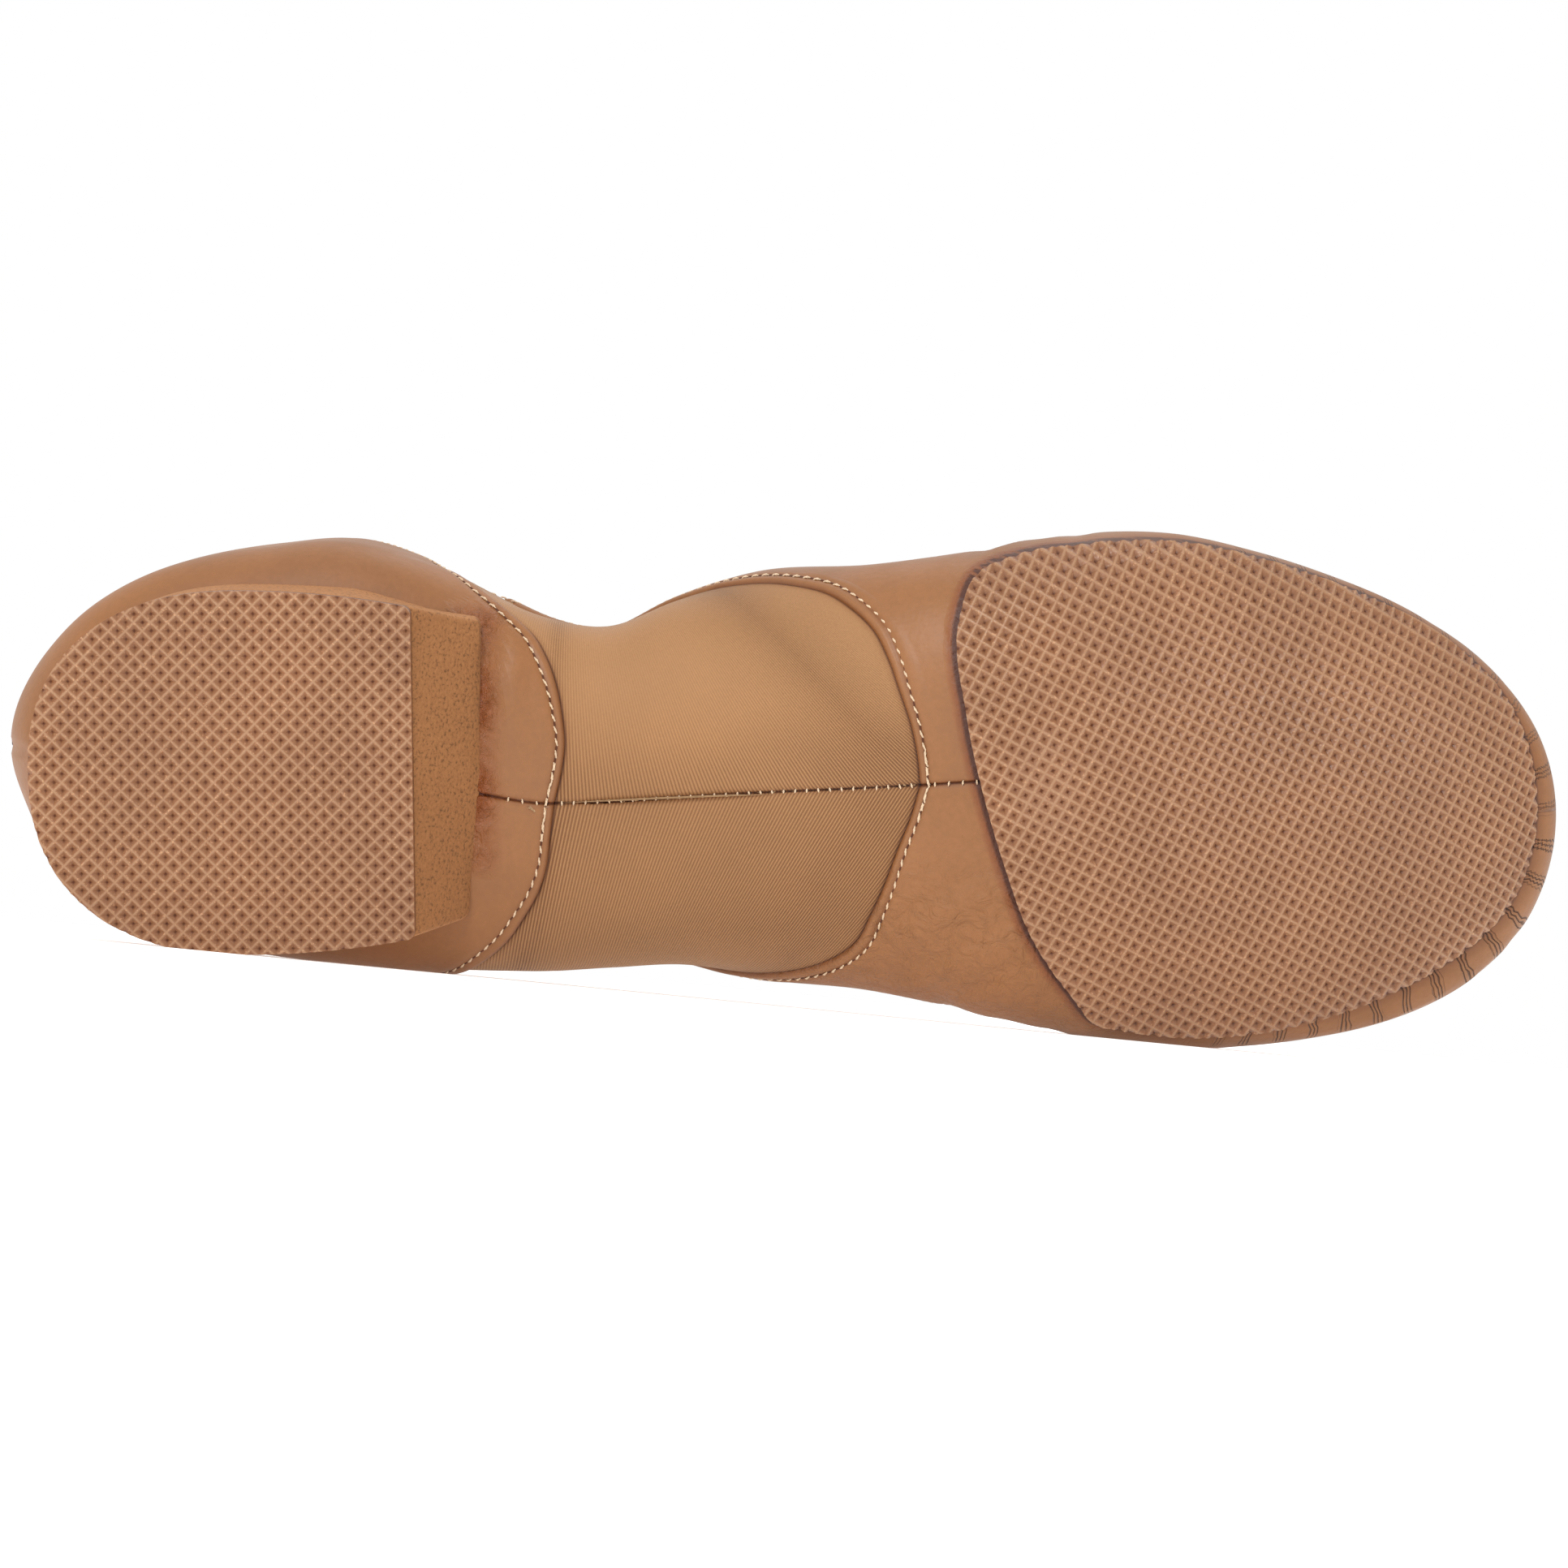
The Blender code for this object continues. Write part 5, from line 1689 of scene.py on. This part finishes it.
def add_top_stitches(context):
    """Rows of stitches beside both seams, with painted shade at their needle holes, doubled a short way either
    side of the seam under the foot.
    """
    sizes = context.scene.jazz_shoe_sizes
    cream, dark = threads()
    base = thread_mesh(sizes.stitch_length, sizes.thread, 0.00018)
    hole = hole_mesh(sizes.stitch_pitch - sizes.stitch_length + 0.0002, sizes.thread * 0.9)
    for name, table, way in (("heel_seam", HEEL_SEAM, -1), ("vamp_seam", VAMP_SEAM, 1)):
        path, outward = surface_path(table, way, SEAM_STITCH_HEIGHT)
        places = spaced(path, outward, sizes.stitch_pitch, 0.0012)
        wobble = np.sin(np.arange(len(places[0])) * 12.9898) * 0.06
        turns = math.radians(13) + wobble
        made = scattered(name + "_stitches", base, places, turns)
        dress(made, [cream], [])
        gaps = spaced(path, outward, sizes.stitch_pitch, 0.0012 + sizes.stitch_pitch / 2)
        made = scattered(name + "_holes", hole, gaps, np.zeros(len(gaps[0])))
        dress(made, [dark], [])
        run = run_of(path)
        centre = run[len(run) // 2]
        pitch = sizes.stitch_pitch * 0.74
        doubled = spaced(path, outward, pitch, 0.0004)
        run_at = np.arange(0.0004, run[-1], pitch)
        keep = np.abs(run_at - centre) < 0.0062
        doubled = tuple(part[keep] for part in doubled)
        turns = math.radians(16) * np.where(np.arange(keep.sum()) % 2, 1, -0.6)
        made = scattered(name + "_back_stitches", base, doubled, turns)
        dress(made, [cream], [])


def add_centre_stitches(context):
    """Short threads across the seam under the foot, with painted shade at their needle holes."""
    cream, dark = threads()
    thread = thread_mesh(0.00095, 0.00030, 0.00014)
    hole = hole_mesh(0.0005, 0.0003)
    parts = []
    heel_end, vamp_start = HEEL_SEAM[0].lateral * LENGTH, VAMP_SEAM[0].lateral * LENGTH
    on_leather, on_cloth = CENTRE_STITCH_HEIGHTS
    for first, last, pitch, height in (
        (heel_end - 0.0075, heel_end - 0.0018, 0.0023, on_leather),
        (heel_end + 0.0012, vamp_start - 0.0012, 0.0019, on_cloth),
        (vamp_start + 0.0024, vamp_start + 0.0102, 0.0022, on_leather),
    ):
        path, outward = keel_path(first, last, height)
        parts.append(spaced(path, outward, pitch))
    places = tuple(np.concatenate([part[k] for part in parts]) for k in range(3))
    count = len(places[0])
    lean = np.sin(np.arange(count) * 7.31) * 0.25
    made = scattered("centre_seam_stitches", thread, places, math.pi / 2 + lean)
    dress(made, [cream], [])
    across = np.cross(places[2], places[1])
    sides = [(places[0] + sign * across * 0.00042, places[1], places[2]) for sign in (-1, 1)]
    both = tuple(np.concatenate([sides[0][k], sides[1][k]]) for k in range(3))
    made = scattered("centre_seam_holes", hole, both, np.full(2 * count, math.pi / 2), 0.8)
    dress(made, [dark], [])


def collar_end(table, side):
    """How far along the length a seam meets the collar."""
    return table[-1].medial if side == MEDIAL else table[-1].lateral


def add_back_and_collar_stitches(context):
    """The zigzag up the back seam and the stitches round the collar."""
    sizes = context.scene.jazz_shoe_sizes
    cream, dark = threads()
    share = np.linspace(0.26, 0.985, 160)
    rim = rim_shares(np.array([0.0]), LATERAL)[0]
    on = inner_points(np.zeros(160), LATERAL, share * rim)
    outward = unit(np.cross(np.gradient(on, axis=0), (0, 1, 0)))
    outward *= -np.sign(outward[:, :1])
    places = spaced(on + outward * BACK_STITCH_HEIGHT, outward, 0.0014)
    count = len(places[0])
    zigzag = math.pi / 2 + 0.55 * np.where(np.arange(count) % 2, 1, -1)
    made = scattered("back_seam_zigzag", thread_mesh(0.0022, 0.00034, 0.00022), places, zigzag)
    dress(made, [dark], [])
    thread = thread_mesh(sizes.stitch_length, sizes.thread * 0.9, 0.00014)
    on_leather, on_cloth = COLLAR_STITCH_HEIGHTS
    parts = []
    for side in (LATERAL, MEDIAL):
        alongs = (THROAT - 0.004) * np.linspace(0, 1, 300) ** 1.6 + 0.0004
        rims = rim_shares(alongs, side)
        lines = [inner_points(alongs, side, rims * (1 - step / 88)) for step in (1.7, 2.0, 2.3)]
        outward = unit(np.cross(np.gradient(lines[1], axis=0), lines[0] - lines[2]))
        outward *= side * np.sign(np.median(outward[:, 1]) or 1)
        cloth = (alongs > collar_end(HEEL_SEAM, side)) & (alongs < collar_end(VAMP_SEAM, side))
        height = np.pad(np.where(cloth, on_cloth, on_leather), 4, "edge")
        height = np.convolve(height, np.full(9, 1 / 9), "valid")
        parts.append(spaced(lines[1] + outward * height[:, None], outward, sizes.stitch_pitch, 0.0015))
    places = tuple(np.concatenate([part[k] for part in parts]) for k in range(3))
    made = scattered("collar_stitches", thread, places, np.full(len(places[0]), 0.1))
    dress(made, [cream], [])


# The stage


def add_stage(context):
    scene = context.scene
    bpy.ops.object.select_all(action="DESELECT")
    bpy.ops.mesh.primitive_plane_add(size=FLOOR_SIZE)
    floor = context.active_object
    floor.name = "floor"
    material, tree, shader, place = new_material("pale_floor", 0.9, 0.2)
    tone = ramp(tree, noise(tree, place, 2.0, 2), [(0.3, (0.96, 0.96, 0.96)), (0.7, (0.98, 0.98, 0.98))])
    tree.links.new(tone, shader.inputs["Base Color"])
    shader.inputs["Emission Color"].default_value = (1, 1, 1, 1)
    shader.inputs["Emission Strength"].default_value = FLOOR_GLOW
    floor.data.materials.append(material)
    world = bpy.data.worlds.new("studio")
    scene.world = world
    world.use_nodes = True
    tree = world.node_tree
    background = tree.nodes["Background"]
    background.inputs["Color"].default_value = (1, 1, 1, 1)
    background.inputs["Strength"].default_value = 1.0
    for light in LIGHTS:
        add_light(light)
    add_camera(scene)
    scene.view_settings.view_transform = "Standard"
    scene.view_settings.look = "None"


def add_light(light):
    bpy.ops.object.light_add(type="AREA", location=light.place)
    made = bpy.context.active_object
    made.name = made.data.name = light.name
    made.data.energy = light.power
    made.data.size = light.size
    aim = Vector(LIGHT_TARGET) - Vector(light.place)
    made.rotation_euler = aim.to_track_quat("-Z", "Y").to_euler()


def add_camera(scene):
    """A long lens square to the sole but for its tilt to the lateral side, as far off as the photograph's."""
    bpy.ops.object.camera_add()
    camera = bpy.context.active_object
    camera.name = "camera"
    camera.data.sensor_width = 36.0
    camera.data.lens = CAMERA_LENS
    camera.data.clip_start = 0.01
    turned = SHOE.to_3x3()
    target = SHOE @ Vector((CAMERA_AIM, 0, 0))
    back = (turned @ Vector((0, -math.sin(CAMERA_TILT), -math.cos(CAMERA_TILT)))).normalized()
    back.z = max(back.z, (LOWEST_EYE - target.z) / CAMERA_DISTANCE)
    back.normalize()
    right = turned @ Vector((1, 0, 0))
    up = back.cross(right).normalized()
    right = up.cross(back).normalized()
    place = Matrix((right, up, back)).transposed().to_4x4()
    camera.matrix_world = Matrix.Translation(target + back * CAMERA_DISTANCE) @ place
    scene.camera = camera


# The add-on


class SHOE_OT_add_quarter(bpy.types.Operator):
    """Adds the heel leather, from the back seam to the seam under the arch"""

    bl_idname = "shoe.add_quarter"
    bl_label = "Heel quarter"
    bl_options = {"REGISTER", "UNDO"}

    def execute(self, context):
        add_quarter(context)
        return {"FINISHED"}


class SHOE_OT_add_stretch_panel(bpy.types.Operator):
    """Adds the ribbed neoprene panel across the arch"""

    bl_idname = "shoe.add_stretch_panel"
    bl_label = "Stretch panel"
    bl_options = {"REGISTER", "UNDO"}

    def execute(self, context):
        add_stretch_panel(context)
        return {"FINISHED"}


class SHOE_OT_add_vamp(bpy.types.Operator):
    """Adds the leather over the ball, the instep and the toe"""

    bl_idname = "shoe.add_vamp"
    bl_label = "Vamp"
    bl_options = {"REGISTER", "UNDO"}

    def execute(self, context):
        add_vamp(context)
        return {"FINISHED"}


class SHOE_OT_add_forefoot_tread(bpy.types.Operator):
    """Adds the pitted rubber patch under the forefoot"""

    bl_idname = "shoe.add_forefoot_tread"
    bl_label = "Forefoot tread"
    bl_options = {"REGISTER", "UNDO"}

    def execute(self, context):
        add_forefoot_tread(context)
        return {"FINISHED"}


class SHOE_OT_add_heel_cap(bpy.types.Operator):
    """Adds the pitted rubber cap under the heel"""

    bl_idname = "shoe.add_heel_cap"
    bl_label = "Heel tread"
    bl_options = {"REGISTER", "UNDO"}

    def execute(self, context):
        add_heel_cap(context)
        return {"FINISHED"}


class SHOE_OT_add_heel_foam(bpy.types.Operator):
    """Adds the sanded foam heel with its slanted breast"""

    bl_idname = "shoe.add_heel_foam"
    bl_label = "Heel foam"
    bl_options = {"REGISTER", "UNDO"}

    def execute(self, context):
        add_heel_foam(context)
        return {"FINISHED"}


class SHOE_OT_add_insole(bpy.types.Operator):
    """Adds the padded sock inside the shoe"""

    bl_idname = "shoe.add_insole"
    bl_label = "Insole"
    bl_options = {"REGISTER", "UNDO"}

    def execute(self, context):
        add_insole(context)
        return {"FINISHED"}


class SHOE_OT_add_top_stitches(bpy.types.Operator):
    """Adds the stitch rows beside both seams"""

    bl_idname = "shoe.add_top_stitches"
    bl_label = "Top-stitching"
    bl_options = {"REGISTER", "UNDO"}

    def execute(self, context):
        add_top_stitches(context)
        return {"FINISHED"}


class SHOE_OT_add_centre_stitches(bpy.types.Operator):
    """Adds the stitches of the seam under the foot"""

    bl_idname = "shoe.add_centre_stitches"
    bl_label = "Centre seam"
    bl_options = {"REGISTER", "UNDO"}

    def execute(self, context):
        add_centre_stitches(context)
        return {"FINISHED"}


class SHOE_OT_add_back_and_collar(bpy.types.Operator):
    """Adds the back seam's zigzag and the collar's stitches"""

    bl_idname = "shoe.add_back_and_collar"
    bl_label = "Back and collar"
    bl_options = {"REGISTER", "UNDO"}

    def execute(self, context):
        add_back_and_collar_stitches(context)
        return {"FINISHED"}


class SHOE_OT_add_stage(bpy.types.Operator):
    """Adds the floor, the lights and the camera"""

    bl_idname = "shoe.add_stage"
    bl_label = "Stage"
    bl_options = {"REGISTER", "UNDO"}

    def execute(self, context):
        add_stage(context)
        return {"FINISHED"}


OPERATORS = (
    SHOE_OT_add_quarter,
    SHOE_OT_add_stretch_panel,
    SHOE_OT_add_vamp,
    SHOE_OT_add_forefoot_tread,
    SHOE_OT_add_heel_cap,
    SHOE_OT_add_heel_foam,
    SHOE_OT_add_insole,
    SHOE_OT_add_top_stitches,
    SHOE_OT_add_centre_stitches,
    SHOE_OT_add_back_and_collar,
    SHOE_OT_add_stage,
)


class SHOE_PT_pieces(bpy.types.Panel):
    """Lists the shoe's pieces with its sizes and colours."""

    bl_label = "Jazz shoe"
    bl_idname = "SHOE_PT_pieces"
    bl_space_type = "VIEW_3D"
    bl_region_type = "UI"
    bl_category = "Jazz shoe"

    def draw(self, context):
        column = self.layout.column()
        for settings in (context.scene.jazz_shoe_sizes, context.scene.jazz_shoe_colours):
            for name in settings.__annotations__:
                column.prop(settings, name)
        for made in OPERATORS:
            column.operator(made.bl_idname)


CLASSES = (ShoeSizes, ShoeColours) + OPERATORS + (SHOE_PT_pieces,)


def register():
    for made in CLASSES:
        bpy.utils.register_class(made)
    bpy.types.Scene.jazz_shoe_sizes = PointerProperty(type=ShoeSizes)
    bpy.types.Scene.jazz_shoe_colours = PointerProperty(type=ShoeColours)


def unregister():
    del bpy.types.Scene.jazz_shoe_colours
    del bpy.types.Scene.jazz_shoe_sizes
    for made in reversed(CLASSES):
        bpy.utils.unregister_class(made)


def main():
    register()
    for made in OPERATORS:
        group, name = made.bl_idname.split(".")
        getattr(getattr(bpy.ops, group), name)()


if __name__ == "__main__":
    main()
